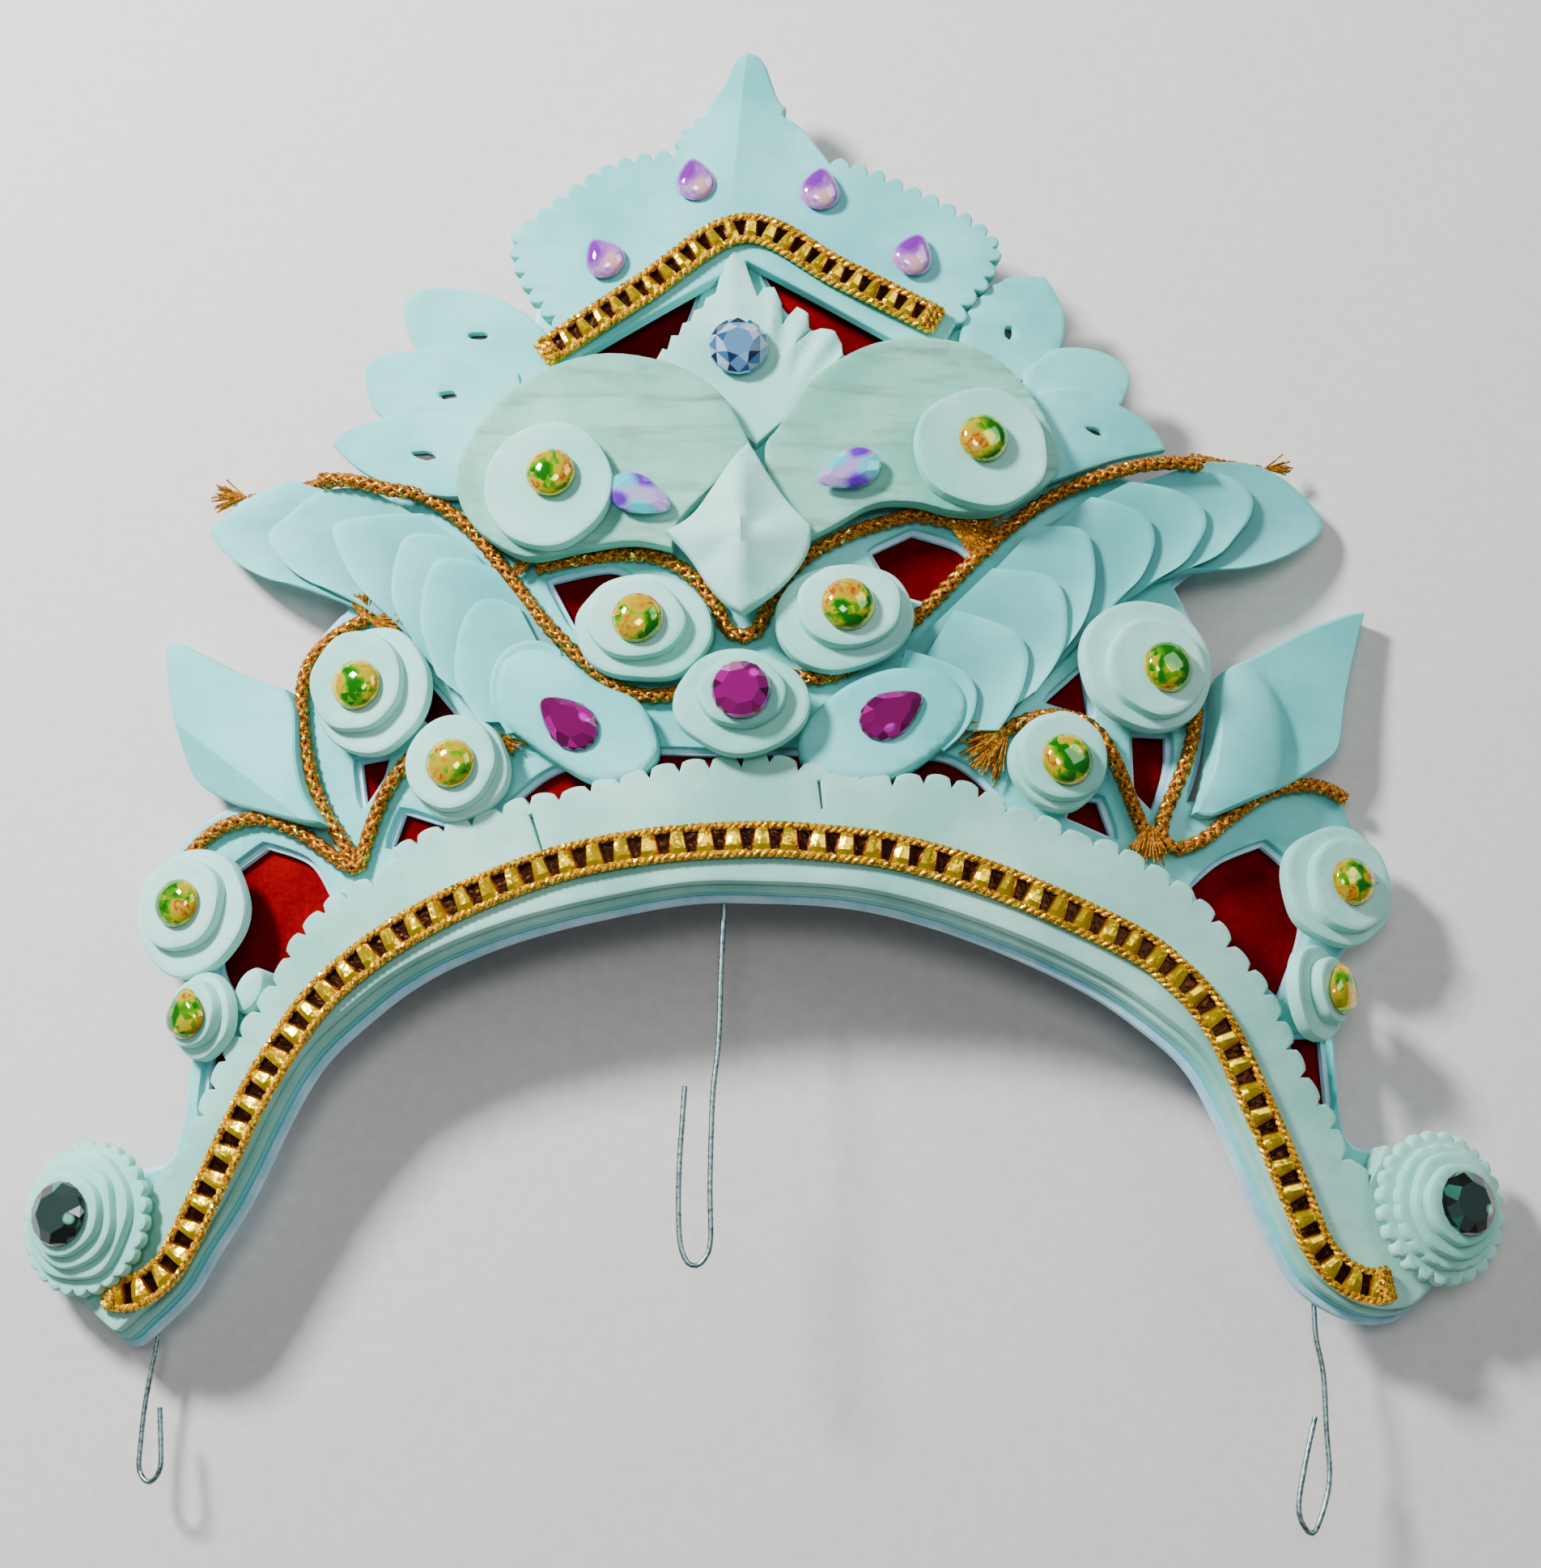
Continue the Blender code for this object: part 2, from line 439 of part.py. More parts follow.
# Wings: one row for the free edge of each scale, from the tip inwards.
# (top u, top v, bottom u, bottom v, bulge of the edge in shares of HALF_WIDTH)
WING_LEFT = [(-0.935, 1.43, -0.915, 1.35, 0.030), (-0.77, 1.46, -0.80, 1.285, 0.065),
             (-0.66, 1.43, -0.69, 1.25, 0.055), (-0.56, 1.37, -0.60, 1.18, 0.045),
             (-0.485, 1.305, -0.53, 1.09, 0.040), (-0.42, 1.205, -0.47, 1.015, 0.035),
             (-0.355, 1.115, -0.40, 0.955, 0.030), (-0.19, 0.99, -0.23, 0.915, -0.025)]
WING_RIGHT = [(0.98, 1.43, 0.97, 1.345, 0.030), (0.83, 1.46, 0.81, 1.28, 0.040),
              (0.73, 1.44, 0.72, 1.26, 0.050), (0.62, 1.415, 0.64, 1.22, 0.045),
              (0.505, 1.35, 0.53, 1.115, 0.045), (0.42, 1.285, 0.46, 1.04, 0.045),
              (0.32, 1.165, 0.37, 0.975, 0.045), (0.10, 0.985, 0.13, 0.93, -0.030)]
WING_COLUMNS = 6
# Rosettes: name, (u, v), radius of each tier in mm from the lowest, lean of the tiers in mm
ROSETTES = [
    ("inner_stack_left", -0.175, 1.14, (10.8, 7.6), (0.3, 0.2), UPPER_SEAT),
    ("inner_stack_right", 0.145, 1.155, (11.2, 8.0), (0.4, 0.4), UPPER_SEAT),
    ("centre_stack", -0.02, 1.00, (10.8, 7.8), (-0.2, 0.6), CENTRE_SEAT),
    ("upper_stack_left", -0.64, 1.06, (10.5, 8.2), (-0.6, 0.4), UPPER_SEAT),
    ("upper_stack_right", 0.655, 1.08, (11.3, 8.0), (0.9, -0.6), UPPER_SEAT),
    ("mid_stack_left", -0.48, 0.91, (8.2, 6.6), (-0.4, 0.0), UPPER_SEAT),
    ("mid_stack_right", 0.49, 0.91, (8.2, 6.6), (0.4, 0.0), UPPER_SEAT),
    ("outer_stack_left", -0.94, 0.705, (10.4, 7.6), (-0.4, 0.4), UPPER_SEAT),
    ("outer_stack_right", 0.97, 0.725, (10.0, 7.4), (0.4, 0.4), UPPER_SEAT),
]
# Small rosettes tipped outwards beside the band: name, (u, v)
SMALL_ROSETTES = [("small_stack_left", -0.925, 0.52), ("small_stack_right", 0.935, 0.54)]
SMALL_RADII = (0.0064, 0.0050)
SMALL_TIP = math.radians(30)
SMALL_FOOT = 0.0024
# End rosettes with a cut edge: name, (u, v), and their tiers from the lowest
END_ROSETTES = [("end_rosette_left", -1.105, 0.195), ("end_rosette_right", 1.115, 0.185)]
END_RADII = (0.0125, 0.0098, 0.0072)
# Cords: (u, v, lift off the frame in shares of LEAF_THICK)
V_CORD = [(-0.36, 1.265, 0), (-0.32, 1.27, 0), (-0.28, 1.275, 0), (-0.22, 1.28, 0), (-0.17, 1.275, 0),
          (-0.13, 1.26, 0), (-0.09, 1.225, 0), (-0.06, 1.18, 0), (-0.045, 1.145, 0), (-0.02, 1.13, 0),
          (0.005, 1.14, 0), (0.02, 1.17, 0), (0.045, 1.22, 0), (0.09, 1.27, 0), (0.16, 1.31, 0),
          (0.23, 1.335, 0), (0.27, 1.345, 0), (0.31, 1.34, 0), (0.34, 1.335, 0), (0.375, 1.325, 0)]
WING_CORD = [(-0.73, 1.445, 1.25), (-0.67, 1.435, 1.25), (-0.61, 1.415, 1.1), (-0.555, 1.405, 0.4),
             (-0.505, 1.37, 0), (-0.46, 1.325, 0), (-0.42, 1.27, 0), (-0.385, 1.22, 0), (-0.345, 1.165, 0),
             (-0.31, 1.125, 0), (-0.27, 1.085, 0), (-0.23, 1.05, 0), (-0.18, 1.03, 0), (-0.12, 1.035, 0),
             (-0.06, 1.065, 0), (-0.01, 1.07, 0), (0.05, 1.06, 0), (0.11, 1.055, 0), (0.16, 1.075, 0),
             (0.21, 1.11, 0), (0.26, 1.155, 0), (0.305, 1.20, 0), (0.36, 1.26, 0), (0.43, 1.33, 0),
             (0.50, 1.385, 0), (0.57, 1.42, 0.4), (0.65, 1.445, 1.1), (0.72, 1.455, 1.25),
             (0.76, 1.455, 1.25)]
SIDE_CORDS_LEFT = [
    [(-0.97, 0.82, 0), (-0.94, 0.84, 0), (-0.90, 0.86, 0), (-0.85, 0.86, 0), (-0.79, 0.835, 0),
     (-0.74, 0.80, 0), (-0.70, 0.775, 0), (-0.67, 0.775, 0), (-0.67, 0.80, 0), (-0.69, 0.84, 0),
     (-0.72, 0.89, 0), (-0.745, 0.95, 0), (-0.755, 1.02, 0), (-0.75, 1.08, 0), (-0.72, 1.14, 0),
     (-0.695, 1.17, 0), (-0.665, 1.19, 0)],
    [(-0.67, 0.775, 0), (-0.64, 0.80, 0), (-0.62, 0.85, 0), (-0.60, 0.90, 0), (-0.56, 0.945, 0),
     (-0.53, 0.975, 0)],
]
SIDE_CORDS_RIGHT = [
    [(0.755, 1.07, 0), (0.75, 1.01, 0), (0.74, 0.96, 0), (0.72, 0.90, 0), (0.69, 0.84, 0), (0.68, 0.80, 0),
     (0.71, 0.775, 0), (0.76, 0.79, 0), (0.82, 0.84, 0), (0.88, 0.875, 0), (0.94, 0.89, 0), (0.99, 0.875, 0),
     (1.01, 0.86, 0)],
    [(0.37, 0.92, 0), (0.40, 0.965, 0), (0.46, 0.99, 0), (0.51, 0.99, 0), (0.55, 0.97, 0), (0.59, 0.92, 0),
     (0.61, 0.86, 0), (0.64, 0.81, 0), (0.68, 0.79, 0)],
]
# Wire hooks behind the card, hidden end first: (u, v, height above the card's back in wire radii)
HOOK_CENTRE = [(-0.05, 0.75, 0), (-0.055, 0.66, 0), (-0.06, 0.57, 0), (-0.065, 0.45, 0), (-0.075, 0.36, 0),
               (-0.08, 0.22, 0), (-0.08, 0.13, 0), (-0.09, 0.10, 0), (-0.105, 0.09, 0), (-0.12, 0.10, 0),
               (-0.13, 0.14, 0), (-0.13, 0.24, 0), (-0.12, 0.38, 0)]
HOOK_LEFT = [(-1.02, 0.09, 0), (-1.03, 0.00, 0), (-1.04, -0.05, 0), (-1.05, -0.11, 0), (-1.055, -0.17, 0),
             (-1.055, -0.21, 0), (-1.035, -0.23, 0), (-1.015, -0.21, 0), (-1.015, -0.17, 0),
             (-1.02, -0.11, 0)]
HOOK_RIGHT = [(0.93, 0.11, 0), (0.93, 0.04, 0), (0.93, -0.02, 0), (0.94, -0.08, 0), (0.94, -0.17, 0),
              (0.94, -0.25, 0), (0.92, -0.31, 0), (0.90, -0.335, 0), (0.88, -0.30, 0), (0.895, -0.23, 0),
              (0.92, -0.15, 0)]
# Stones that stand on the petals, wings, crest and fan:
# name, (u, v), seat, half width and half length in mm, turn of the point in degrees, finish
SET_STONES = [
    ("crest_pear_1", -0.245, 1.815, "crest", 3.4, 4.0, 30, "lilac_glass"),
    ("crest_pear_2", -0.09, 1.955, "crest", 3.4, 4.0, 8, "lilac_glass"),
    ("crest_pear_3", 0.12, 1.935, "crest", 3.4, 4.0, -8, "lilac_glass"),
    ("crest_pear_4", 0.275, 1.815, "crest", 3.4, 4.0, -20, "lilac_glass"),
    ("fan_stone", -0.02, 1.64, "leaf", 5.2, 5.2, 0, "clear_glass"),
    ("petal_stone_left", -0.32, 1.40, "disc", 4.2, 4.2, 0, "rainbow_glass"),
    ("petal_stone_right", 0.37, 1.455, "disc", 4.2, 4.2, 0, "rainbow_glass"),
    ("petal_pear_left", -0.18, 1.36, "petal", 3.4, 5.8, -116, "lilac_glass"),
    ("petal_pear_right", 0.155, 1.40, "petal", 3.4, 5.8, 112, "lilac_glass"),
    ("wing_pear_left", -0.30, 0.98, "wing", 3.9, 6.0, 48, "purple_glass"),
    ("wing_pear_right", 0.22, 0.985, "wing", 3.9, 6.0, -58, "purple_glass"),
]
# Stones on top of the rosettes: rosette, half width in mm, finish
TOP_STONES = [
    ("inner_stack_left", 4.3, "rainbow_glass"), ("inner_stack_right", 4.5, "rainbow_glass"),
    ("centre_stack", 5.2, "purple_glass"),
    ("upper_stack_left", 4.3, "rainbow_glass"), ("upper_stack_right", 4.4, "rainbow_glass"),
    ("mid_stack_left", 4.2, "rainbow_glass"), ("mid_stack_right", 4.4, "rainbow_glass"),
    ("outer_stack_left", 4.1, "rainbow_glass"), ("outer_stack_right", 4.1, "rainbow_glass"),
    ("small_stack_left", 3.9, "rainbow_glass"), ("small_stack_right", 3.9, "rainbow_glass"),
    ("end_rosette_left", 5.4, "clear_glass"), ("end_rosette_right", 5.4, "clear_glass"),
]


def card_outline():
    """The whole outer edge of the card."""
    return place(CARD_EDGE + RIGHT_FOOT[::-1] + ARCH[::-1] + LEFT_FOOT)


def shrunk(line, distance):
    """A closed outline moved inwards, for one that runs clockwise."""
    count = len(line)
    moved = []
    for number in range(count):
        before = Vector(line[number - 1])
        after = Vector(line[(number + 1) % count])
        along = (after - before).normalized()
        moved.append((line[number][0] + along.y * distance, line[number][1] - along.x * distance))
    return moved


def make_frame():
    """The card with its windows cut through."""
    loops = [card_outline()] + [place(window) for window in WINDOWS.values()]
    add_part("scroll_frame", bend_mesh(flat_solid("frame", loops, FRAME_BACK, FRAME_THICK)), "card")


def make_backing():
    """Red paper glued behind the card, cut back from the arch so that the hooks lie beside it."""
    arch = offset_line(place(ARCH[5:24]), BACKING_MARGIN)
    loops = [place(BACKING) + arch[::-1]]
    add_part("backing_sheet", bend_mesh(flat_solid("backing", loops, 0.0, BACKING_THICK)), "crimson_paper")


def make_band():
    """The forehead band, with teeth along its top and a step of card below it."""
    arch = offset_line(place([LEFT_FOOT[1]] + [LEFT_FOOT[0]] + ARCH + RIGHT_FOOT[:2]), BAND_STEP)
    top = toothed(place(BAND_TOP), NOTCH_PITCH, NOTCH_DEPTH)
    feet_left = shrunk(place(LEFT_FOOT), BAND_STEP)[2:]
    feet_right = place(RIGHT_FOOT)[2:]
    feet_right = [(u - BAND_STEP, v) for u, v in feet_right]
    loop = feet_left + top + feet_right[::-1] + arch[::-1]
    add_part("forehead_band", bend_mesh(flat_solid("band", [loop], SEAT, BAND_THICK)), "pith")


def make_trim(name, rows, width, back):
    """A gold strip along a line, lying on the piece below."""
    middle = place(rows)
    loop = offset_line(middle, width / 2) + offset_line(middle, -width / 2)[::-1]
    add_part(name, bend_mesh(flat_solid(name, [loop], back, TRIM_THICK)), "gold_foil")


def make_crest():
    """The scalloped crest."""
    edge = toothed(place(CREST_EDGE), SCALLOP_PITCH, SCALLOP_DEPTH)
    loop = edge + place(CREST_FOOT)
    add_part("crest", bend_mesh(flat_solid("crest", [loop], SEAT, CREST_THICK)), "pith")


def slit(u, v, half_length, turn):
    """A narrow pointed cut."""
    along = Vector((math.cos(math.radians(turn)), math.sin(math.radians(turn))))
    across = Vector((-along.y, along.x)) * SLIT_HALF_WIDTH
    middle = Vector(place([(u, v)])[0])
    half = along * half_length * HALF_WIDTH
    return [tuple(middle - half), tuple(middle + across), tuple(middle + half), tuple(middle - across)]


def make_leaves(name, rows, slits):
    """Three carved leaves in one piece of pith."""
    loops = [place(rows)] + [slit(*row) for row in slits]
    add_part(name, bend_mesh(flat_solid(name, loops, SEAT, LEAF_THICK)), "pith")


def make_petal(side, rows):
    """A big petal whose top rises inside its rim, with a disc on it."""
    plate = bmesh.new()
    mesh = flat_solid("petal", [place(rows)], UPPER_SEAT, PETAL_THICK)
    plate.from_mesh(mesh)
    top = [face for face in plate.faces if face.normal.z > 0.5]
    bmesh.ops.inset_region(plate, faces=top, thickness=PETAL_RIM, depth=PETAL_CROWN, use_even_offset=True)
    plate.to_mesh(mesh)
    plate.free()
    u, v = place([PETAL_DISCS[side]])[0]
    disc = flat_solid("disc", [circle(u, v, PETAL_DISC_RADIUS, TIER_SIDES)],
                      PETAL_TOP - PETAL_CROWN, PETAL_CROWN + PETAL_DISC_THICK)
    add_part(f"petal_{side}", bend_mesh(joined("petal", [mesh, disc])), "pith")


def circle(u, v, radius, sides, depth=0.0):
    """Points round a circle; a depth cuts every second one back into teeth."""
    points = []
    for number in range(sides):
        turn = 2 * math.pi * (number + 0.5) / sides
        reach = radius - (depth if number % 2 else 0.0)
        points.append((u + reach * math.cos(turn), v + reach * math.sin(turn)))
    return points


def make_kite(name, rows, fold, seat, edge, rise):
    """A thin kite pinched up to one point."""
    corners = place(rows)
    u, v = place([fold])[0]
    work = bmesh.new()
    bottom = [work.verts.new((a, b, seat)) for a, b in corners]
    top = [work.verts.new((a, b, seat + edge)) for a, b in corners]
    peak = work.verts.new((u, v, seat + rise))
    work.faces.new(bottom)
    for number in range(len(corners)):
        after = (number + 1) % len(corners)
        work.faces.new((bottom[number], bottom[after], top[after], top[number]))
        work.faces.new((top[number], top[after], peak))
    bmesh.ops.recalc_face_normals(work, faces=work.faces[:])
    bmesh.ops.triangulate(work, faces=work.faces[:])
    mesh = bpy.data.meshes.new(name)
    work.to_mesh(mesh)
    work.free()
    add_part(name, bend_mesh(mesh), "pith")


def wing_rows(rows):
    """Rows of points over the scales: each scale starts high at its free edge and dives under the next."""
    sections = []
    for number, (top_u, top_v, low_u, low_v, bulge) in enumerate(rows):
        top = Vector(place([(top_u, top_v)])[0])
        low = Vector(place([(low_u, low_v)])[0])
        across = (low - top).normalized()
        outwards = Vector((across.y, -across.x))
        if outwards.x * top_u < 0:
            outwards.negate()
        last = number == len(rows) - 1
        # before each free edge after the first there is a low row for the scale below
        steps = [(0.0, SCALE_HIGH)] if number == 0 else [(SCALE_STEP, SCALE_LOW), (0.0, SCALE_HIGH)]
        if last:
            steps = [(0.0, SCALE_HIGH * WING_END)]
        for shift, height in steps:
            section = []
            for column in range(WING_COLUMNS):
                share = column / (WING_COLUMNS - 1)
                round_share = 1 - (2 * share - 1) ** 2
                spot = top.lerp(low, share) + outwards * (bulge * HALF_WIDTH * round_share + shift)
                section.append((spot.x, spot.y, SEAT + height * (SCALE_SIDE + (1 - SCALE_SIDE) * round_share)))
            sections.append(section)
    return sections


def make_wing(name, rows):
    """A wing of overlapping scales, as one carved body on a flat base."""
    sections = wing_rows(rows)
    work = bmesh.new()
    grid = [[work.verts.new(point) for point in section] for section in sections]
    faces = []
    for near, far in zip(grid, grid[1:]):
        for column in range(WING_COLUMNS - 1):
            faces.append(work.faces.new((near[column], near[column + 1], far[column + 1], far[column])))
    base = bmesh.ops.extrude_face_region(work, geom=faces, use_keep_orig=True)
    for item in base["geom"]:
        if isinstance(item, bmesh.types.BMVert):
            item.co.z = SEAT
    bmesh.ops.triangulate(work, faces=work.faces[:])
    bmesh.ops.recalc_face_normals(work, faces=work.faces[:])
    mesh = bpy.data.meshes.new(name)
    work.to_mesh(mesh)
    work.free()
    add_part(name, bend_mesh(mesh), "pith")


def rosette_mesh(radii, foot_height, lean, sides=TIER_SIDES, depth=0.0):
    """Tiers of pith on a spool. The lowest tier starts at height 0, and its edge may have teeth."""
    foot = radii[0] * FOOT_SHARE
    rings = [(0, 0, foot, -foot_height, 0), (0, 0, foot, 0, 0)]
    for number, radius in enumerate(radii):
        cut = depth if number == 0 else 0.0
        bottom = number * TIER_THICK
        shift_u, shift_v = lean[0] * number, lean[1] * number
        rings.append((shift_u, shift_v, radius, bottom, cut))
        rings.append((shift_u, shift_v, radius, bottom + TIER_THICK, cut))
    return loft([[(u, v, height) for u, v in circle(a, b, radius, sides, cut)]
                 for a, b, radius, height, cut in rings])


def gem_mesh(half_width, half_length):
    """A glued stone: flat back, girdle, a ring of facets and a flat table; longer ones come to a point."""
    height = half_width * GEM_HEIGHT
    pointed = half_length > half_width * PEAR_LONG
    girdle = []
    for number in range(GEM_SIDES):
        turn = 2 * math.pi * (number + (0.0 if pointed else 0.5)) / GEM_SIDES
        u = half_width * math.sin(turn)
        v = half_length * math.cos(turn)
        if pointed:
            u *= (1 - math.cos(turn)) / 2 * PEAR_SWELL + PEAR_NARROW if math.cos(turn) > 0 else 1.0
        girdle.append((u, v))
    levels = [(GEM_BACK, 0.0), (1.0, height * GEM_GIRDLE), (GEM_TABLE, height)]
    return loft([[(u * share, v * share, level) for u, v in girdle] for share, level in levels])


def make_rosettes():
    """All rosettes on the sheet; returns where the stone on each one stands."""
    tops = {}
    for name, share_u, share_v, radii, lean, seat in ROSETTES:
        u, v = place([(share_u, share_v)])[0]
        radii = [radius * MM for radius in radii]
        shift = [amount * MM for amount in lean]
        mesh = rosette_mesh(radii, seat - SEAT, shift)
        matrix = seat_matrix(u, v, seat)
        set_piece(name, mesh, "pith", matrix)
        steps = len(radii) - 1
        tops[name] = matrix @ Matrix.Translation(
            (shift[0] * steps, shift[1] * steps, TIER_THICK * len(radii) + GAP))
    for name, share_u, share_v in SMALL_ROSETTES:
        u, v = place([(share_u, share_v)])[0]
        foot = SMALL_RADII[0] * FOOT_SHARE
        level = SEAT + foot * math.sin(SMALL_TIP) + SMALL_FOOT * math.cos(SMALL_TIP) + GAP
        matrix = seat_matrix(u, v, level, SMALL_TIP)
        set_piece(name, rosette_mesh(SMALL_RADII, SMALL_FOOT, (0.0, 0.0)), "pith", matrix)
        tops[name] = matrix @ Matrix.Translation((0, 0, TIER_THICK * len(SMALL_RADII) + GAP))
    for name, share_u, share_v in END_ROSETTES:
        u, v = place([(share_u, share_v)])[0]
        matrix = seat_matrix(u, v, END_SEAT)
        mesh = rosette_mesh(END_RADII, END_SEAT - BAND_SEAT, (0.0, 0.0), END_TEETH * 2, TOOTH_DEPTH)
        set_piece(name, mesh, "pith", matrix)
        tops[name] = matrix @ Matrix.Translation((0, 0, TIER_THICK * len(END_RADII) + GAP))
    return tops


def make_stones(tops):
    """The stones on the rosettes and those glued straight to the pith."""
    for name, half_width, finish in TOP_STONES:
        stone = name.replace("stack", "stone").replace("rosette", "stone")
        set_piece(stone, gem_mesh(half_width * MM, half_width * MM), finish, tops[name])
    seats = {
        "crest": CREST_SEAT,
        "leaf": UPPER_SEAT,
        "disc": PETAL_TOP + PETAL_DISC_THICK + GAP,
        "petal": PETAL_TOP + GAP,
        "wing": SEAT + SCALE_HIGH + GAP,
    }
    for name, share_u, share_v, seat, half_width, half_length, turn, finish in SET_STONES:
        u, v = place([(share_u, share_v)])[0]
        matrix = seat_matrix(u, v, seats[seat], spin=math.radians(turn))
        set_piece(name, gem_mesh(half_width * MM, half_length * MM), finish, matrix)


def cord_route(rows):
    """A cord's chosen points as a smooth route that lies on the frame."""
    points = [(u * HALF_WIDTH, v * MID_HEIGHT, SEAT + CORD_RADIUS + lift * LEAF_THICK) for u, v, lift in rows]
    return [tuple(point) for point in smooth_line(points, CORD_STEP)]


def hook_route(rows):
    """A wire hook's points, against the back of the card."""
    middle = FRAME_BACK - GAP - WIRE_RADIUS
    points = [(u * HALF_WIDTH, v * MID_HEIGHT, middle - lift * WIRE_RADIUS) for u, v, lift in rows]
    return [tuple(point) for point in smooth_line(points, WIRE_STEP)]


def make_cords_and_hooks():
    """Braided cords glued to the frame, and the wire hooks."""
    add_part("v_cord", tube("v_cord", [cord_route(V_CORD)], CORD_RADIUS), "gold_cord")
    add_part("wing_cord", tube("wing_cord", [cord_route(WING_CORD)], CORD_RADIUS), "gold_cord")
    for side, routes in (("left", SIDE_CORDS_LEFT), ("right", SIDE_CORDS_RIGHT)):
        name = f"side_cord_{side}"
        add_part(name, tube(name, [cord_route(rows) for rows in routes], CORD_RADIUS), "gold_cord")
    for place_name, rows in (("centre", HOOK_CENTRE), ("left", HOOK_LEFT), ("right", HOOK_RIGHT)):
        name = f"hook_{place_name}"
        add_part(name, tube(name, [hook_route(rows)], WIRE_RADIUS), "steel_wire")


def mass_centre(pieces):
    """The centre of all solids by volume, taking each with the same density."""
    total = 0.0
    moment = Vector()
    for piece in pieces:
        mesh = piece.data
        mesh.calc_loop_triangles()
        matrix = piece.matrix_world
        for triangle in mesh.loop_triangles:
            a, b, c = (matrix @ mesh.vertices[number].co for number in triangle.vertices)
            volume = a.dot(b.cross(c)) / 6
            total += volume
            moment += volume * (a + b + c) / 4
    return moment / total


def holds_foot(face, spot):
    """Whether a point lies straight behind a face, along the face's normal."""
    corners = [vertex.co for vertex in face.verts]
    return all((after - before).cross(spot - before).dot(face.normal) >= 0
               for before, after in zip(corners, corners[1:] + corners[:1]))


def lie_down():
    """Turn the crown until it lies stably on its back, and put the origin under its middle."""
    bpy.context.view_layer.update()
    pieces = [item for item in parts.objects if item.type == "MESH"]
    spots = [piece.matrix_world @ vertex.co for piece in pieces for vertex in piece.data.vertices]
    centre = mass_centre(pieces)
    wrap = bmesh.new()
    for spot in spots:
        wrap.verts.new(spot)
    bmesh.ops.convex_hull(wrap, input=wrap.verts[:])
    bmesh.ops.triangulate(wrap, faces=wrap.faces[:])
    bmesh.ops.recalc_face_normals(wrap, faces=wrap.faces[:])
    under = min((face for face in wrap.faces if holds_foot(face, centre)), key=lambda face: face.normal.z)
    turn = under.normal.rotation_difference(Vector((0, 0, -1))).to_matrix().to_4x4()
    wrap.free()
    turned = [turn @ spot for spot in spots]
    middle = [(min(spot[axis] for spot in turned) + max(spot[axis] for spot in turned)) / 2 for axis in (0, 1)]
    floor = min(spot.z for spot in turned)
    rest_frame.matrix_world = Matrix.Translation((-middle[0], -middle[1], -floor)) @ turn
    bpy.context.view_layer.update()


make_backing()
make_frame()
make_band()
make_trim("band_trim", BAND_TRIM, TRIM_WIDTH, BAND_SEAT)
make_crest()
make_trim("crest_trim", CREST_TRIM, CREST_TRIM_WIDTH, CREST_SEAT)
make_leaves("fan_leaf", FAN_LEAF, [])
make_leaves("leaves_left", LEAVES_LEFT, SLITS_LEFT)
make_leaves("leaves_right", LEAVES_RIGHT, SLITS_RIGHT)
make_petal("left", PETAL_LEFT)
make_petal("right", PETAL_RIGHT)
make_kite("centre_kite", CENTRE_KITE, CENTRE_FOLD, PETAL_TOP + GAP, KITE_EDGE, KITE_RISE)
make_kite("side_kite_left", KITE_LEFT, KITE_LEFT_FOLD, SEAT, SIDE_KITE_EDGE, SIDE_KITE_RISE)
make_kite("side_kite_right", KITE_RIGHT, KITE_RIGHT_FOLD, SEAT, SIDE_KITE_EDGE, SIDE_KITE_RISE)
make_wing("wing_left", WING_LEFT)
make_wing("wing_right", WING_RIGHT)
make_stones(make_rosettes())
make_cords_and_hooks()
lie_down()
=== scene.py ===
"""A carved pith bridal crown lying on its back: the looks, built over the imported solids."""
import math

import bmesh
import bpy
from mathutils import Matrix, Vector, noise


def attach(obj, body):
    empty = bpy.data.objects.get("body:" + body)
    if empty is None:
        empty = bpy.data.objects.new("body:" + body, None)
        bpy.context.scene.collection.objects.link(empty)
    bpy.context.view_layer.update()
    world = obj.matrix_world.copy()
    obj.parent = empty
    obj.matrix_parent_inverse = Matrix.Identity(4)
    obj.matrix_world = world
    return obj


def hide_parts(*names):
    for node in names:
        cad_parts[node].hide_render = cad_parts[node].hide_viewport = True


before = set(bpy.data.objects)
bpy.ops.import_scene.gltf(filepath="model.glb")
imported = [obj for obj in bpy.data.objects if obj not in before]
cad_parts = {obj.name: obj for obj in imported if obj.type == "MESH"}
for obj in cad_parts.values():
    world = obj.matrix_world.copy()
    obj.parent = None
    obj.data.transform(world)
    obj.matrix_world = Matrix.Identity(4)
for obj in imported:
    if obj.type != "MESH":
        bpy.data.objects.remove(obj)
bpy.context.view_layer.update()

MM = 0.001

# Sizes shared with the solids, in metres
HALF_WIDTH = 0.100
MID_HEIGHT = 0.100
BEND_RADIUS = 0.250
GAP = 0.0003
FRAME_BACK = 0.0013
FRAME_FACE = 0.0040
SEAT = 0.0043
BAND_THICK = 0.0040
BAND_SEAT = 0.0086
CREST_SEAT = 0.0076
UPPER_SEAT = 0.0076
PETAL_TOP = 0.0112
CENTRE_SEAT = 0.0103
END_SEAT = 0.0103
TIER_THICK = 0.0024
LEAF_THICK = 0.0030

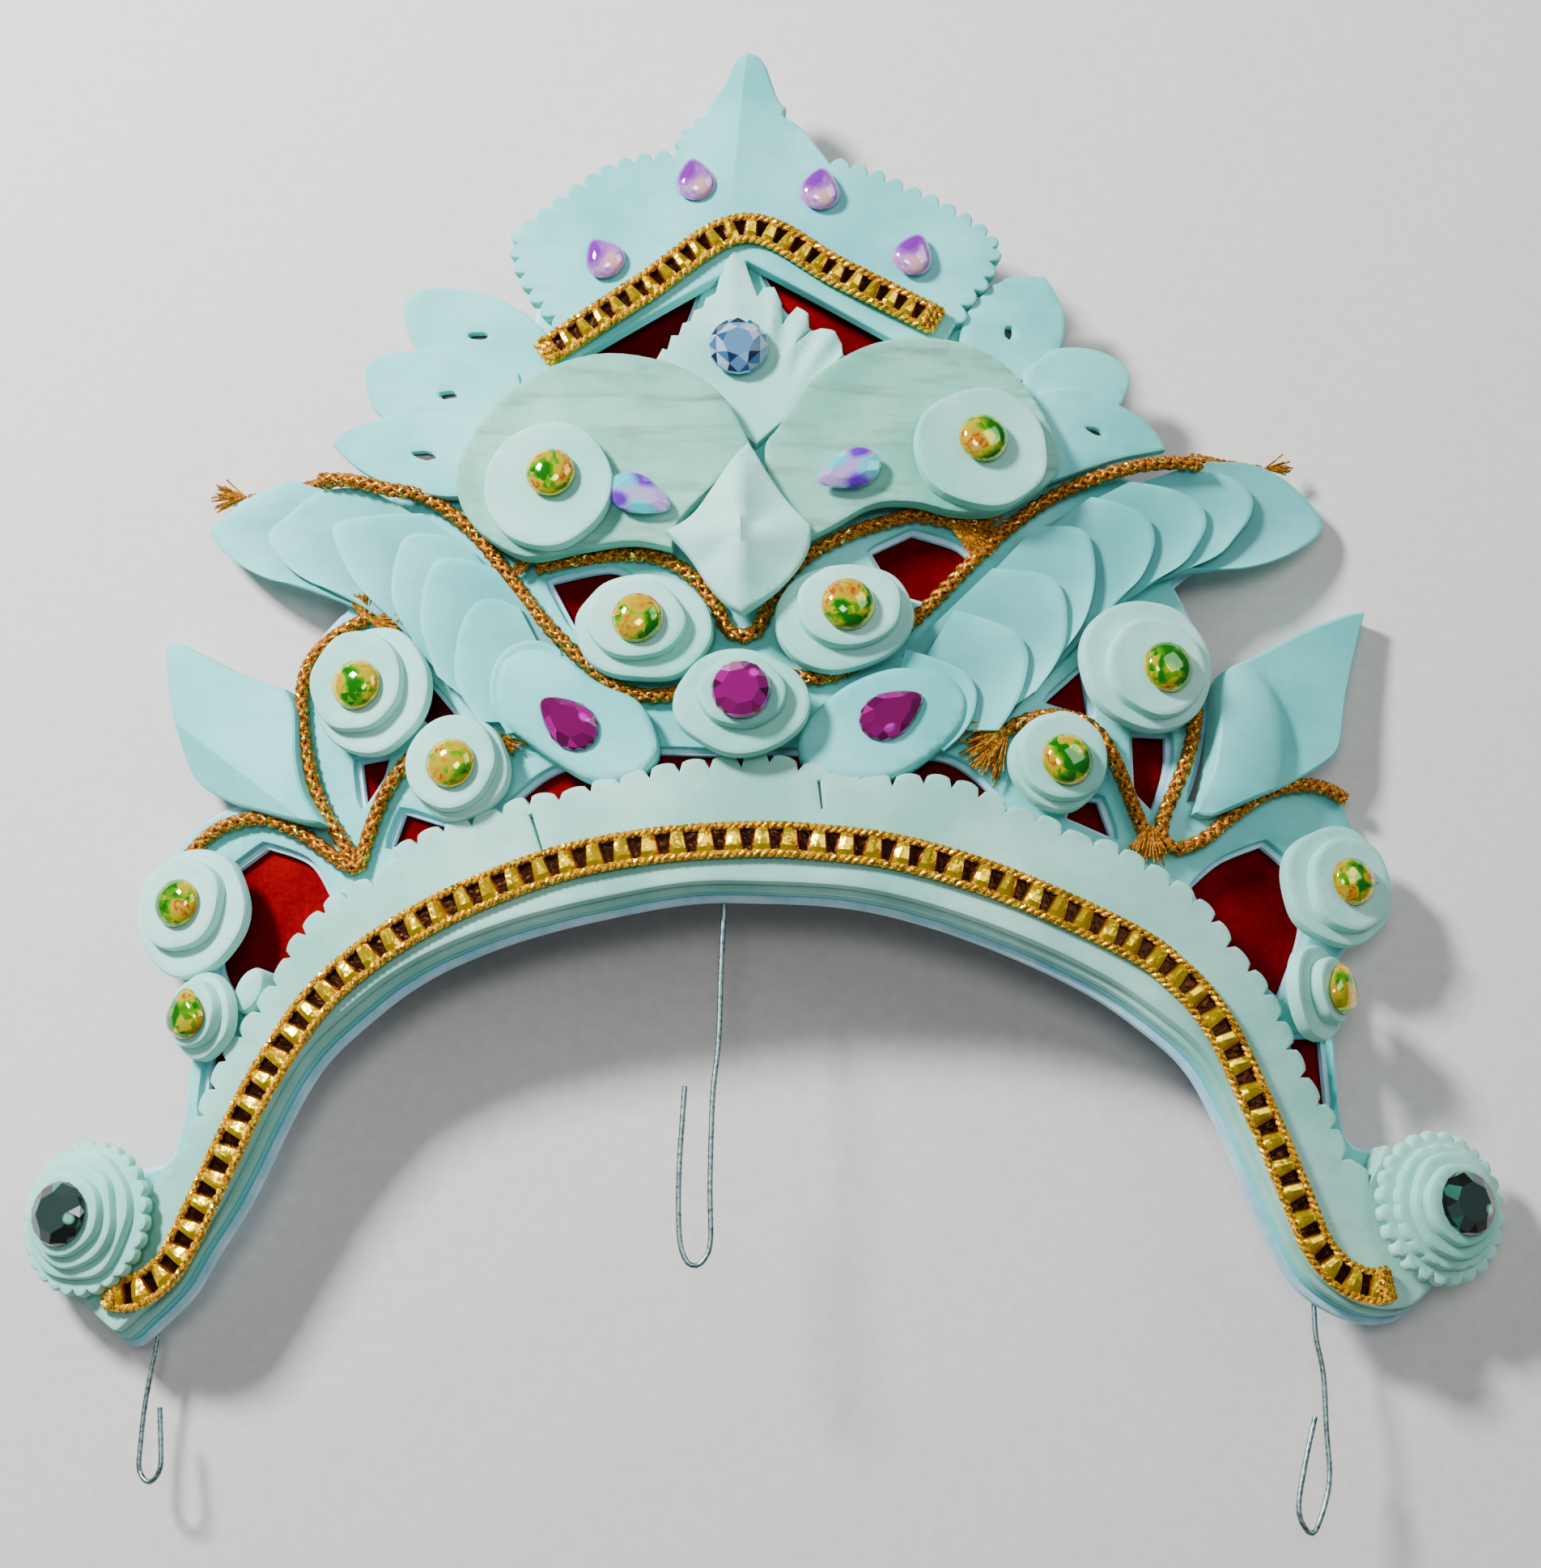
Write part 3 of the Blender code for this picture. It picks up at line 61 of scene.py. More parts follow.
# Sizes of the thin work, in metres
CARD_THICK = 1.1 * MM
RIB_INSET = 1.1 * MM
WINDOW_RIM = 0.9 * MM
BAND_INSET = 1.2 * MM
LEAF_STEP = 0.75 * MM
LEAF_SHEET = 1.9 * MM
WING_SHEET = 0.9 * MM
WING_RISE = 4.1 * MM
EDGE_REACH = 0.36 * MM
EDGE_PITCH = 2.4 * MM
EDGE_STEP = 0.35 * MM
CORD_RADIUS = 1.15 * MM
BRAID_REACH = 1.2 * MM
BRAID_PITCH = 6.5 * MM
BRAID_STEP = 0.42 * MM
STRAND_RADIUS = 0.5 * MM
THREAD_RADIUS = 0.17 * MM
WIRE_RADIUS = 0.45 * MM
SMALL_FOOT_RADIUS = 0.0064 * 0.45

# Pixels of the photograph to a millimetre: in the leaves, and across and up the petals' discs
LEAF_PIXELS = 7.4
DISC_PIXELS = (7.5, 7.2)

# Steps of a curve between two points, of one lobe, and of one folded bar with its gap
CURVE_PARTS = 8
LOBE_STEPS = 8
BAR_STEPS = 10

# The crown lies on its back: what turns upwards, and the way from its own frame to the floor
TURNED_UP = Vector((0.005639, -0.087128, 0.996181))
REST = (Matrix.Translation((-0.000571, -0.092697, 0.027535))
        @ TURNED_UP.rotation_difference(Vector((0, 0, 1))).to_matrix().to_4x4())

# The camera, in the crown's own frame
IMAGE_WIDTH = 1904
IMAGE_HEIGHT = 1937
FOCAL_PIXELS = 3700
SENSOR_WIDTH = 36
LOOK_TILT = math.radians(15)
ROLL = math.radians(0.7)
EYE = Vector((0.0025, -0.0407, 0.4830))
LOOK = Vector((0, math.sin(LOOK_TILT), -math.cos(LOOK_TILT)))
LEVEL_UP = Vector((0, math.cos(LOOK_TILT), math.sin(LOOK_TILT)))
RIGHT = Vector((1, 0, 0)) * math.cos(ROLL) - LEVEL_UP * math.sin(ROLL)
UP = Vector((1, 0, 0)) * math.sin(ROLL) + LEVEL_UP * math.cos(ROLL)


def make_camera():
    """The camera at the photograph's angle."""
    data = bpy.data.cameras.new("camera")
    data.sensor_width = SENSOR_WIDTH
    data.lens = SENSOR_WIDTH * FOCAL_PIXELS / IMAGE_HEIGHT
    camera = bpy.data.objects.new("camera", data)
    turn = Matrix((RIGHT, UP, -LOOK)).transposed().to_4x4()
    camera.matrix_world = REST @ Matrix.Translation(EYE) @ turn
    bpy.context.scene.collection.objects.link(camera)
    bpy.context.scene.camera = camera


make_camera()


def spot(px, py, w):
    """Flat-pattern place (u, v) of what shows at a pixel of the photograph, at height w on the crown."""
    ray = LOOK * FOCAL_PIXELS + RIGHT * (px - IMAGE_WIDTH / 2) + UP * (IMAGE_HEIGHT / 2 - py)
    a = ray.x ** 2 + ray.z ** 2
    b = EYE.x * ray.x + (EYE.z + BEND_RADIUS) * ray.z
    c = EYE.x ** 2 + (EYE.z + BEND_RADIUS) ** 2 - (BEND_RADIUS + w) ** 2
    hit = EYE + ray * ((-b - math.sqrt(b * b - a * c)) / a)
    return Vector((math.atan2(hit.x, hit.z + BEND_RADIUS) * BEND_RADIUS, hit.y, 0))


def spots(pixels, w):
    """Several pixels of the photograph as places on the flat pattern."""
    return [spot(px, py, w) for px, py in pixels]


def place(rows):
    """Table rows of (u, v) shares as places on the flat pattern."""
    return [Vector((row[0] * HALF_WIDTH, row[1] * MID_HEIGHT, 0)) for row in rows]


def bent(u, v, w):
    """Where a point of the flat pattern lies on the bent crown."""
    turn = u / BEND_RADIUS
    reach = BEND_RADIUS + w
    return Vector((reach * math.sin(turn), v, reach * math.cos(turn) - BEND_RADIUS))


def seat_matrix(u, v, w, outward=0.0, spin=0.0):
    """The place of a stiff piece on the bent sheet; outward tips it away from the centre line."""
    turn = u / BEND_RADIUS + math.copysign(outward, u)
    return (REST @ Matrix.Translation(bent(u, v, w)) @ Matrix.Rotation(turn, 4, "Y")
            @ Matrix.Rotation(spin, 4, "Z"))


def even(line, count):
    """Points at even steps along a line."""
    lengths = [0.0]
    for before, after in zip(line, line[1:]):
        lengths.append(lengths[-1] + (after - before).length)
    made = []
    here = 0
    for number in range(count + 1):
        wanted = lengths[-1] * number / count
        while here < len(lengths) - 2 and lengths[here + 1] < wanted:
            here += 1
        span = lengths[here + 1] - lengths[here]
        made.append(line[here].lerp(line[here + 1], (wanted - lengths[here]) / span if span else 0.0))
    return made


def curve_through(points, closed=False):
    """Fine points on a Catmull-Rom curve through the given ones."""
    ends = [points[-1]] + points + points[:2] if closed else [points[0]] + points + [points[-1]]
    fine = []
    for a, b, c, d in zip(ends, ends[1:], ends[2:], ends[3:]):
        for part in range(CURVE_PARTS):
            t = part / CURVE_PARTS
            fine.append(0.5 * (2 * b + (c - a) * t + (2 * a - 5 * b + 4 * c - d) * t ** 2
                               + (3 * b - a - 3 * c + d) * t ** 3))
    fine.append(fine[0] if closed else points[-1])
    return fine


def length_of(line):
    """How long a line is."""
    return sum((after - before).length for before, after in zip(line, line[1:]))


def smooth_line(points, step):
    """Evenly spaced points on an open curve."""
    fine = curve_through(points)
    return even(fine, max(2, round(length_of(fine) / step)))


def outline(points, step=1.0 * MM, sharp=50):
    """Evenly spaced points round a closed outline; corners sharper than some degrees stay corners."""
    count = len(points)
    corners = [number for number in range(count)
               if (points[number] - points[number - 1]).angle(points[(number + 1) % count] - points[number])
               > math.radians(sharp)]
    if not corners:
        fine = curve_through(points, closed=True)
        return even(fine, max(8, round(length_of(fine) / step)))[:-1]
    made = []
    for first, last in zip(corners, corners[1:] + [corners[0] + count]):
        run = [points[number % count] for number in range(first, last + 1)]
        made += smooth_line(run, step)[:-1]
    return made


def grown(loop, distance):
    """A closed outline moved outwards, or inwards for a negative distance."""
    count = len(loop)
    area = sum(a.x * b.y - b.x * a.y for a, b in zip(loop, loop[1:] + loop[:1]))
    side = 1 if area > 0 else -1
    moved = []
    for number in range(count):
        along = (loop[(number + 1) % count] - loop[number - 1]).normalized()
        moved.append(loop[number] + Vector((along.y, -along.x, 0)) * (distance * side))
    return moved


def beside(line, distance):
    """An open line moved to its left."""
    moved = []
    for number, point in enumerate(line):
        along = (line[min(number + 1, len(line) - 1)] - line[max(number - 1, 0)]).normalized()
        moved.append(point + Vector((-along.y, along.x, 0)) * distance)
    return moved


def lobed(line, pitch, depth, fullness):
    """Lobes along a line, cut into its right side with a V between them; a small fullness is flat."""
    count = max(2, round(length_of(line) / pitch)) * LOBE_STEPS
    fine = even(line, count)
    cut = []
    for number, point in enumerate(fine):
        along = (fine[min(number + 1, count)] - fine[max(number - 1, 0)]).normalized()
        wander = 1 + 0.35 * noise.noise(point * 300)
        dip = depth * (1 - abs(math.sin(math.pi * number / LOBE_STEPS)) ** fullness) * wander
        cut.append(point + Vector((along.y, -along.x, 0)) * dip)
    return cut


def slab(loops, bottom, top, edge=0.4 * MM, cell=2.5 * MM, shape=None, crease=None):
    """A closed sheet of pith or card on the flat pattern, with a rounded upper edge and perhaps a crease."""
    work = bmesh.new()
    for loop in loops:
        corners = [work.verts.new((point.x, point.y, top - edge)) for point in loop]
        for a, b in zip(corners, corners[1:] + corners[:1]):
            work.edges.new((a, b))
    bmesh.ops.triangle_fill(work, use_beauty=True, edges=work.edges[:], normal=(0, 0, 1))
    upper = work.faces[:]
    made = bmesh.ops.extrude_face_region(work, geom=work.faces[:], use_keep_orig=True)
    for item in made["geom"]:
        if isinstance(item, bmesh.types.BMVert):
            item.co.z = bottom
    work.normal_update()
    upwards = math.copysign(1, upper[0].normal.z)
    for share_in, share_up in ((0.3, 0.7), (0.7, 0.3)):
        bmesh.ops.inset_region(work, faces=upper, thickness=edge * share_in, depth=edge * share_up * upwards,
                               use_boundary=True, use_even_offset=False)
    if crease:
        along = crease[1] - crease[0]
        bmesh.ops.bisect_plane(work, geom=work.verts[:] + work.edges[:] + work.faces[:], dist=1e-7,
                               plane_co=crease[0], plane_no=(-along.y, along.x, 0))
    low_u = min(vertex.co.x for vertex in work.verts)
    high_u = max(vertex.co.x for vertex in work.verts)
    low_v = min(vertex.co.y for vertex in work.verts)
    high_v = max(vertex.co.y for vertex in work.verts)
    for number in range(1, int((high_u - low_u) / cell) + 1):
        bmesh.ops.bisect_plane(work, geom=work.verts[:] + work.edges[:] + work.faces[:], dist=1e-7,
                               plane_co=(low_u + number * cell, 0, 0), plane_no=(1, 0, 0))
    if shape:
        for number in range(1, int((high_v - low_v) / cell) + 1):
            bmesh.ops.bisect_plane(work, geom=work.verts[:] + work.edges[:] + work.faces[:], dist=1e-7,
                                   plane_co=(0, low_v + number * cell, 0), plane_no=(0, 1, 0))
        for vertex in work.verts:
            share = (vertex.co.z - bottom) / (top - bottom)
            if share > 0.05:
                vertex.co.z += shape(vertex.co.x, vertex.co.y) * share
    return work


def bend(work):
    """Bend a flat piece on its cylinder and lay it down."""
    for vertex in work.verts:
        vertex.co = REST @ bent(*vertex.co)
    return work


def seat(work, matrix):
    """Move a stiff piece to its place."""
    bmesh.ops.transform(work, matrix=matrix, verts=work.verts[:])
    return work


def add_piece(name, works, finish, nodes, crease=38, smooth=True):
    """One object from finished bmeshes, riding on the crown in place of its solid."""
    mesh = bpy.data.meshes.new(name)
    whole = bmesh.new()
    for number, work in enumerate(works):
        bmesh.ops.recalc_face_normals(work, faces=work.faces[:])
        part = bpy.data.meshes.new("part")
        work.to_mesh(part)
        work.free()
        start = len(whole.faces)
        whole.from_mesh(part)
        whole.faces.ensure_lookup_table()
        if isinstance(finish, list):
            for face in whole.faces[start:]:
                face.material_index = min(number, len(finish) - 1)
        bpy.data.meshes.remove(part)
    whole.to_mesh(mesh)
    whole.free()
    for material in finish if isinstance(finish, list) else [finish]:
        mesh.materials.append(material)
    if smooth:
        mesh.shade_smooth()
        mesh.set_sharp_from_angle(angle=math.radians(crease))
    piece = bpy.data.objects.new(name, mesh)
    bpy.context.scene.collection.objects.link(piece)
    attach(piece, "root")
    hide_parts(*nodes)
    return piece


def tubes(routes, radius, sides=2):
    """Round strands along routes of points in the crown's frame, as one bmesh."""
    curve = bpy.data.curves.new("strands", "CURVE")
    curve.dimensions = "3D"
    curve.bevel_depth = radius
    curve.bevel_resolution = sides
    curve.use_fill_caps = True
    for route in routes:
        spline = curve.splines.new("POLY")
        spline.points.add(len(route) - 1)
        for point, here in zip(spline.points, route):
            point.co = (*here, 1)
    drawn = bpy.data.objects.new("strands", curve)
    bpy.context.scene.collection.objects.link(drawn)
    bpy.context.view_layer.update()
    mesh = bpy.data.meshes.new_from_object(drawn.evaluated_get(bpy.context.evaluated_depsgraph_get()))
    bpy.data.objects.remove(drawn)
    work = bmesh.new()
    work.from_mesh(mesh)
    bmesh.ops.remove_doubles(work, verts=work.verts[:], dist=1e-7)
    bpy.data.meshes.remove(mesh)
    return seat(work, REST)


# Materials

def colour(code):
    """An sRGB hex colour as linear values."""
    parts = [int(code[start:start + 2], 16) / 255 for start in (1, 3, 5)]
    return (*[part / 12.92 if part <= 0.04045 else ((part + 0.055) / 1.055) ** 2.4 for part in parts], 1.0)


def node(tree, kind, settings=None, inputs=None):
    """Add a material node with its settings, and its inputs as values or as other nodes' sockets."""
    made = tree.nodes.new(kind)
    for name, value in (settings or {}).items():
        if name == "stops":
            while len(made.color_ramp.elements) < len(value):
                made.color_ramp.elements.new(0.5)
            for element, (position, code) in zip(made.color_ramp.elements, value):
                element.position = position
                element.color = colour(code)
        else:
            setattr(made, name, value)
    for name, value in (inputs or {}).items():
        if isinstance(value, bpy.types.NodeSocket):
            tree.links.new(value, made.inputs[name])
        else:
            made.inputs[name].default_value = value
    return made


def new_material(name):
    """An empty material, its node tree and the place on the object."""
    made = bpy.data.materials.new(name)
    made.use_nodes = True
    made.node_tree.nodes.clear()
    tree = made.node_tree
    return made, tree, node(tree, "ShaderNodeTexCoord").outputs["Object"]


def finish_shader(tree, inputs):
    """The surface shader of a material, and its output."""
    shader = node(tree, "ShaderNodeBsdfPrincipled", inputs=inputs)
    node(tree, "ShaderNodeOutputMaterial", inputs={"Surface": shader.outputs["BSDF"]})


def pith(name, pale, deep, streak, streak_share):
    """Sola pith, knife-cut and dry: matt, with fine pores and faint growth streaks, and painted shade where a
    petal dives under the next.
    """
    made, tree, where = new_material(name)
    cloud = node(tree, "ShaderNodeTexNoise", inputs={"Vector": where, "Scale": 45, "Detail": 3,
                                                     "Roughness": 0.55})
    tone = node(tree, "ShaderNodeValToRGB", {"stops": [(0.36, deep), (0.62, pale)]},
                {"Fac": cloud.outputs["Fac"]})
    long_way = node(tree, "ShaderNodeMapping", inputs={"Vector": where, "Scale": (0.16, 1.0, 1.0),
                                                        "Rotation": (0, 0, 0.25)})
    grain = node(tree, "ShaderNodeTexNoise", inputs={"Vector": long_way.outputs["Vector"], "Scale": 380,
                                                     "Detail": 4, "Roughness": 0.6})
    grain_share = node(tree, "ShaderNodeMapRange", inputs={"Value": grain.outputs["Fac"], "From Min": 0.5,
                                                           "From Max": 0.78, "To Max": streak_share})
    grained = node(tree, "ShaderNodeMix", {"data_type": "RGBA"},
                   {0: grain_share.outputs["Result"], 6: tone.outputs["Color"], 7: colour(streak)})
    # pores, drawn as coarse as they show: about 0.5 mm apart
    pore = node(tree, "ShaderNodeTexNoise", inputs={"Vector": where, "Scale": 1900, "Detail": 2,
                                                    "Roughness": 0.7})
    pore_share = node(tree, "ShaderNodeMapRange", inputs={"Value": pore.outputs["Fac"], "From Min": 0.56,
                                                          "From Max": 0.8, "To Max": 0.4})
    pored = node(tree, "ShaderNodeMix", {"data_type": "RGBA"},
                 {0: pore_share.outputs["Result"], 6: grained.outputs[2], 7: colour("#93AFA9")})
    speck = node(tree, "ShaderNodeTexVoronoi", inputs={"Vector": where, "Scale": 75, "Randomness": 1.0})
    speck_share = node(tree, "ShaderNodeMapRange", inputs={"Value": speck.outputs["Distance"],
                                                           "From Min": 0.030,
                                                           "From Max": 0.018, "To Max": 0.55})
    specked = node(tree, "ShaderNodeMix", {"data_type": "RGBA"},
                   {0: speck_share.outputs["Result"], 6: pored.outputs[2], 7: colour("#6A7466")})
    # painted shade: darker teal where a petal dives under the next one
    dive = node(tree, "ShaderNodeAttribute", {"attribute_name": "dive"})
    painted_shade_share = node(tree, "ShaderNodeMapRange", inputs={"Value": dive.outputs["Fac"], "From Min": 0.08,
                                                    "From Max": 0.6, "To Max": 0.6})
    painted_shade_mix = node(tree, "ShaderNodeMix", {"data_type": "RGBA"},
                 {0: painted_shade_share.outputs["Result"], 6: specked.outputs[2], 7: colour("#4E8E8C")})
    rise = node(tree, "ShaderNodeMath", {"operation": "MULTIPLY_ADD"},
                {0: grain.outputs["Fac"], 1: 0.8, 2: pore.outputs["Fac"]})
    bump = node(tree, "ShaderNodeBump", inputs={"Height": rise.outputs["Value"], "Strength": 0.35,
                                                "Distance": 0.00012})
    finish_shader(tree, {"Base Color": painted_shade_mix.outputs[2], "Roughness": 0.62, "IOR": 1.45,
                         "Subsurface Weight": 0.07, "Subsurface Radius": (0.6, 1.0, 0.9),
                         "Subsurface Scale": 0.0012, "Specular IOR Level": 0.35,
                         "Normal": bump.outputs["Normal"]})
    return made


def card_stock():
    """White coated card, die cut: smoother than the pith, with a cool blue cast and faint scuffs."""
    made, tree, where = new_material("card_stock")
    scuff = node(tree, "ShaderNodeTexNoise", inputs={"Vector": where, "Scale": 160, "Detail": 5,
                                                     "Roughness": 0.65})
    tone = node(tree, "ShaderNodeValToRGB", {"stops": [(0.35, "#92CCE2"), (0.66, "#C4E8FA")]},
                {"Fac": scuff.outputs["Fac"]})
    rough = node(tree, "ShaderNodeMapRange", inputs={"Value": scuff.outputs["Fac"], "To Min": 0.38,
                                                     "To Max": 0.6})
    bump = node(tree, "ShaderNodeBump", inputs={"Height": scuff.outputs["Fac"], "Strength": 0.2,
                                                "Distance": 0.0001})
    finish_shader(tree, {"Base Color": tone.outputs["Color"], "Roughness": rough.outputs["Result"],
                         "IOR": 1.5,
                         "Normal": bump.outputs["Normal"]})
    return made


def crimson_paper():
    """Dyed crimson paper, felt-like: matt with fine fibres and uneven dye."""
    made, tree, where = new_material("crimson_paper_fibre")
    fibre = node(tree, "ShaderNodeTexNoise", inputs={"Vector": where, "Scale": 1300, "Detail": 4,
                                                     "Roughness": 0.7})
    dye = node(tree, "ShaderNodeTexNoise", inputs={"Vector": where, "Scale": 60, "Detail": 2})
    mixed = node(tree, "ShaderNodeMath", {"operation": "MULTIPLY_ADD"},
                 {0: fibre.outputs["Fac"], 1: 0.5, 2: dye.outputs["Fac"]})
    tone = node(tree, "ShaderNodeValToRGB", {"stops": [(0.45, "#3C0003"), (0.75, "#5E0006"),
                                                       (0.98, "#820009")]},
                {"Fac": mixed.outputs["Value"]})
    bump = node(tree, "ShaderNodeBump", inputs={"Height": fibre.outputs["Fac"], "Strength": 0.4,
                                                "Distance": 0.0001})
    finish_shader(tree, {"Base Color": tone.outputs["Color"], "Roughness": 0.85, "IOR": 1.4,
                         "Specular IOR Level": 0.02, "Normal": bump.outputs["Normal"]})
    return made


def gold_foil():
    """Gilded plastic foil, folded: mirror-like, with a painted highlight on the ridges and brown where the
    folds dive, partly its brown ground and partly painted shade.
    """
    made, tree, where = new_material("folded_gold_foil")
    height = node(tree, "ShaderNodeAttribute", {"attribute_name": "pleat"})
    wander = node(tree, "ShaderNodeTexNoise", inputs={"Vector": where, "Scale": 700, "Detail": 2})
    level = node(tree, "ShaderNodeMath", {"operation": "MULTIPLY_ADD"},
                 {0: wander.outputs["Fac"], 1: 0.35, 2: height.outputs["Fac"]})
    # colour by fold height: brown ground and painted shade low in the gaps, painted highlight yellow on the
    # bar tops
    tone = node(tree, "ShaderNodeValToRGB",
                {"stops": [(0.2, "#321400"), (0.42, "#965400"), (0.8, "#E49C00"), (1.0, "#FFD60A")]},
                {"Fac": level.outputs["Value"]})
    dent = node(tree, "ShaderNodeTexNoise", inputs={"Vector": where, "Scale": 900, "Detail": 1})
    bump = node(tree, "ShaderNodeBump", inputs={"Height": dent.outputs["Fac"], "Strength": 0.5,
                                                "Distance": 0.0003})
    finish_shader(tree, {"Base Color": tone.outputs["Color"], "Metallic": 0.85, "Roughness": 0.24,
                         "Normal": bump.outputs["Normal"]})
    return made


def metal_thread(name, dark, middle, bright, metal):
    """Cord spun from dyed rayon and metallised film: amber thread with bright gold glints."""
    made, tree, where = new_material(name)
    thread = node(tree, "ShaderNodeTexNoise", inputs={"Vector": where, "Scale": 2100, "Detail": 3,
                                                      "Roughness": 0.6})
    patch = node(tree, "ShaderNodeTexNoise", inputs={"Vector": where, "Scale": 850, "Detail": 1})
    tone = node(tree, "ShaderNodeValToRGB", {"stops": [(0.32, dark), (0.5, middle), (0.66, bright)]},
                {"Fac": thread.outputs["Fac"]})
    glint = node(tree, "ShaderNodeMapRange", inputs={"Value": patch.outputs["Fac"], "From Min": 0.6,
                                                     "From Max": 0.68})
    glinting = node(tree, "ShaderNodeMix", {"data_type": "RGBA"},
                    {0: glint.outputs["Result"], 6: tone.outputs["Color"], 7: colour("#FFD867")})
    metallic = node(tree, "ShaderNodeMapRange", inputs={"Value": patch.outputs["Fac"], "From Min": 0.5,
                                                        "From Max": 0.65, "To Min": metal, "To Max": 1.0})
    rough = node(tree, "ShaderNodeMapRange", inputs={"Value": patch.outputs["Fac"], "From Min": 0.5,
                                                     "From Max": 0.65, "To Min": 0.5, "To Max": 0.2})
    bump = node(tree, "ShaderNodeBump", inputs={"Height": thread.outputs["Fac"], "Strength": 0.5,
                                                "Distance": 0.0002})
    finish_shader(tree, {"Base Color": glinting.outputs[2], "Metallic": metallic.outputs["Result"],
                         "Roughness": rough.outputs["Result"], "Normal": bump.outputs["Normal"]})
    return made


def galvanised_wire():
    """Drawn steel wire, zinc coated: dull grey-green with small dark pits."""
    made, tree, where = new_material("galvanised_wire")
    pit = node(tree, "ShaderNodeTexNoise", inputs={"Vector": where, "Scale": 1500, "Detail": 3})
    tone = node(tree, "ShaderNodeValToRGB", {"stops": [(0.3, "#4C6468"), (0.48, "#86A2A4"),
                                                       (0.7, "#A9C1C0")]},
                {"Fac": pit.outputs["Fac"]})
    rough = node(tree, "ShaderNodeMapRange", inputs={"Value": pit.outputs["Fac"], "To Min": 0.25,
                                                     "To Max": 0.5})
    finish_shader(tree, {"Base Color": tone.outputs["Color"], "Metallic": 1.0,
                         "Roughness": rough.outputs["Result"]})
    return made


def cut_glass(name, stops, tints_and_highlights, metal):
    """Machine-cut glass with a coated back: each facet gets a random tint, partly painted reflection, and
    some patches another colour; the small bright patches are painted highlights.
    """
    made, tree, _ = new_material(name)
    facet = node(tree, "ShaderNodeAttribute", {"attribute_name": "facet"})
    across = node(tree, "ShaderNodeAttribute", {"attribute_name": "cut"})
    tone = node(tree, "ShaderNodeValToRGB", {"stops": stops}, {"Fac": facet.outputs["Fac"]})
    tone.color_ramp.interpolation = "CONSTANT" if len(stops) > 3 else "LINEAR"
    mixed = tone.outputs["Color"]
    flat = node(tree, "ShaderNodeVectorMath", {"operation": "MULTIPLY"},
                {0: across.outputs["Vector"], 1: (1.0, 1.0, 0.0)})
    # colour patches, and painted highlights where a patch is small and bright
    for code, middle, size in tints_and_highlights:
        away = node(tree, "ShaderNodeVectorMath", {"operation": "DISTANCE"},
                    {0: flat.outputs[0], 1: (*middle, 0)})
        near = node(tree, "ShaderNodeMapRange", inputs={"Value": away.outputs["Value"], "From Min": size,
                                                        "From Max": size * 0.45})
        mixed = node(tree, "ShaderNodeMix", {"data_type": "RGBA"},
                     {0: near.outputs["Result"], 6: mixed, 7: colour(code)}).outputs[2]
    finish_shader(tree, {"Base Color": mixed, "Metallic": metal, "Roughness": 0.06, "IOR": 1.55,
                         "Coat Weight": 1.0, "Coat Roughness": 0.03})
    return made


def rainbow_glass():
    """Vacuum-coated domed glass: yellow gold turning green, orange and red in patches, with a bright rim."""
    made, tree, where = new_material("rainbow_glass_cut")
    across = node(tree, "ShaderNodeAttribute", {"attribute_name": "cut"})
    far = node(tree, "ShaderNodeVectorMath", {"operation": "SCALE"}, {0: where, "Scale": 90.0})
    each = node(tree, "ShaderNodeVectorMath", {"operation": "SNAP"}, {0: far.outputs[0], 1: (1.0, 1.0, 1.0)})
    shifted = node(tree, "ShaderNodeVectorMath", {"operation": "MULTIPLY_ADD"},
                   {0: each.outputs[0], 1: (0.37, 0.37, 0.37), 2: across.outputs["Vector"]})
    patch = node(tree, "ShaderNodeTexNoise", inputs={"Vector": shifted.outputs[0], "Scale": 0.95, "Detail": 0,
                                                     "Distortion": 0.4})
    facet = node(tree, "ShaderNodeAttribute", {"attribute_name": "facet"})
    level = node(tree, "ShaderNodeMath", {"operation": "MULTIPLY_ADD"},
                 {0: facet.outputs["Fac"], 1: 0.2, 2: patch.outputs["Fac"]})
    tone = node(tree, "ShaderNodeValToRGB",
                {"stops": [(0.40, "#0C7A08"), (0.51, "#6AB400"), (0.59, "#DCCC00"), (0.72, "#E6B400"),
                           (0.78, "#D04400"), (0.83, "#E0C838")]}, {"Fac": level.outputs["Value"]})
    flat = node(tree, "ShaderNodeVectorMath", {"operation": "MULTIPLY"},
                {0: across.outputs["Vector"], 1: (1.0, 1.0, 0.0)})
    reach = node(tree, "ShaderNodeVectorMath", {"operation": "LENGTH"}, {0: flat.outputs[0]})
    rim = node(tree, "ShaderNodeMapRange", inputs={"Value": reach.outputs["Value"], "From Min": 0.88,
                                                   "From Max": 1.02, "To Max": 0.8})
    rimmed = node(tree, "ShaderNodeMix", {"data_type": "RGBA"},
                  {0: rim.outputs["Result"], 6: tone.outputs["Color"], 7: colour("#C89A08")})
    finish_shader(tree, {"Base Color": rimmed.outputs[2], "Metallic": 0.45, "Roughness": 0.08, "IOR": 1.55,
                         "Coat Weight": 1.0, "Coat Roughness": 0.02})
    return made


def plain_floor():
    """A painted studio table: pale, matt and even, with a trace of grain."""
    made, tree, where = new_material("pale_table")
    grain = node(tree, "ShaderNodeTexNoise", inputs={"Vector": where, "Scale": 400, "Detail": 3})
    tone = node(tree, "ShaderNodeValToRGB", {"stops": [(0.3, "#D9D7D3"), (0.7, "#E2E0DC")]},
                {"Fac": grain.outputs["Fac"]})
    finish_shader(tree, {"Base Color": tone.outputs["Color"], "Roughness": 0.8})
    return made


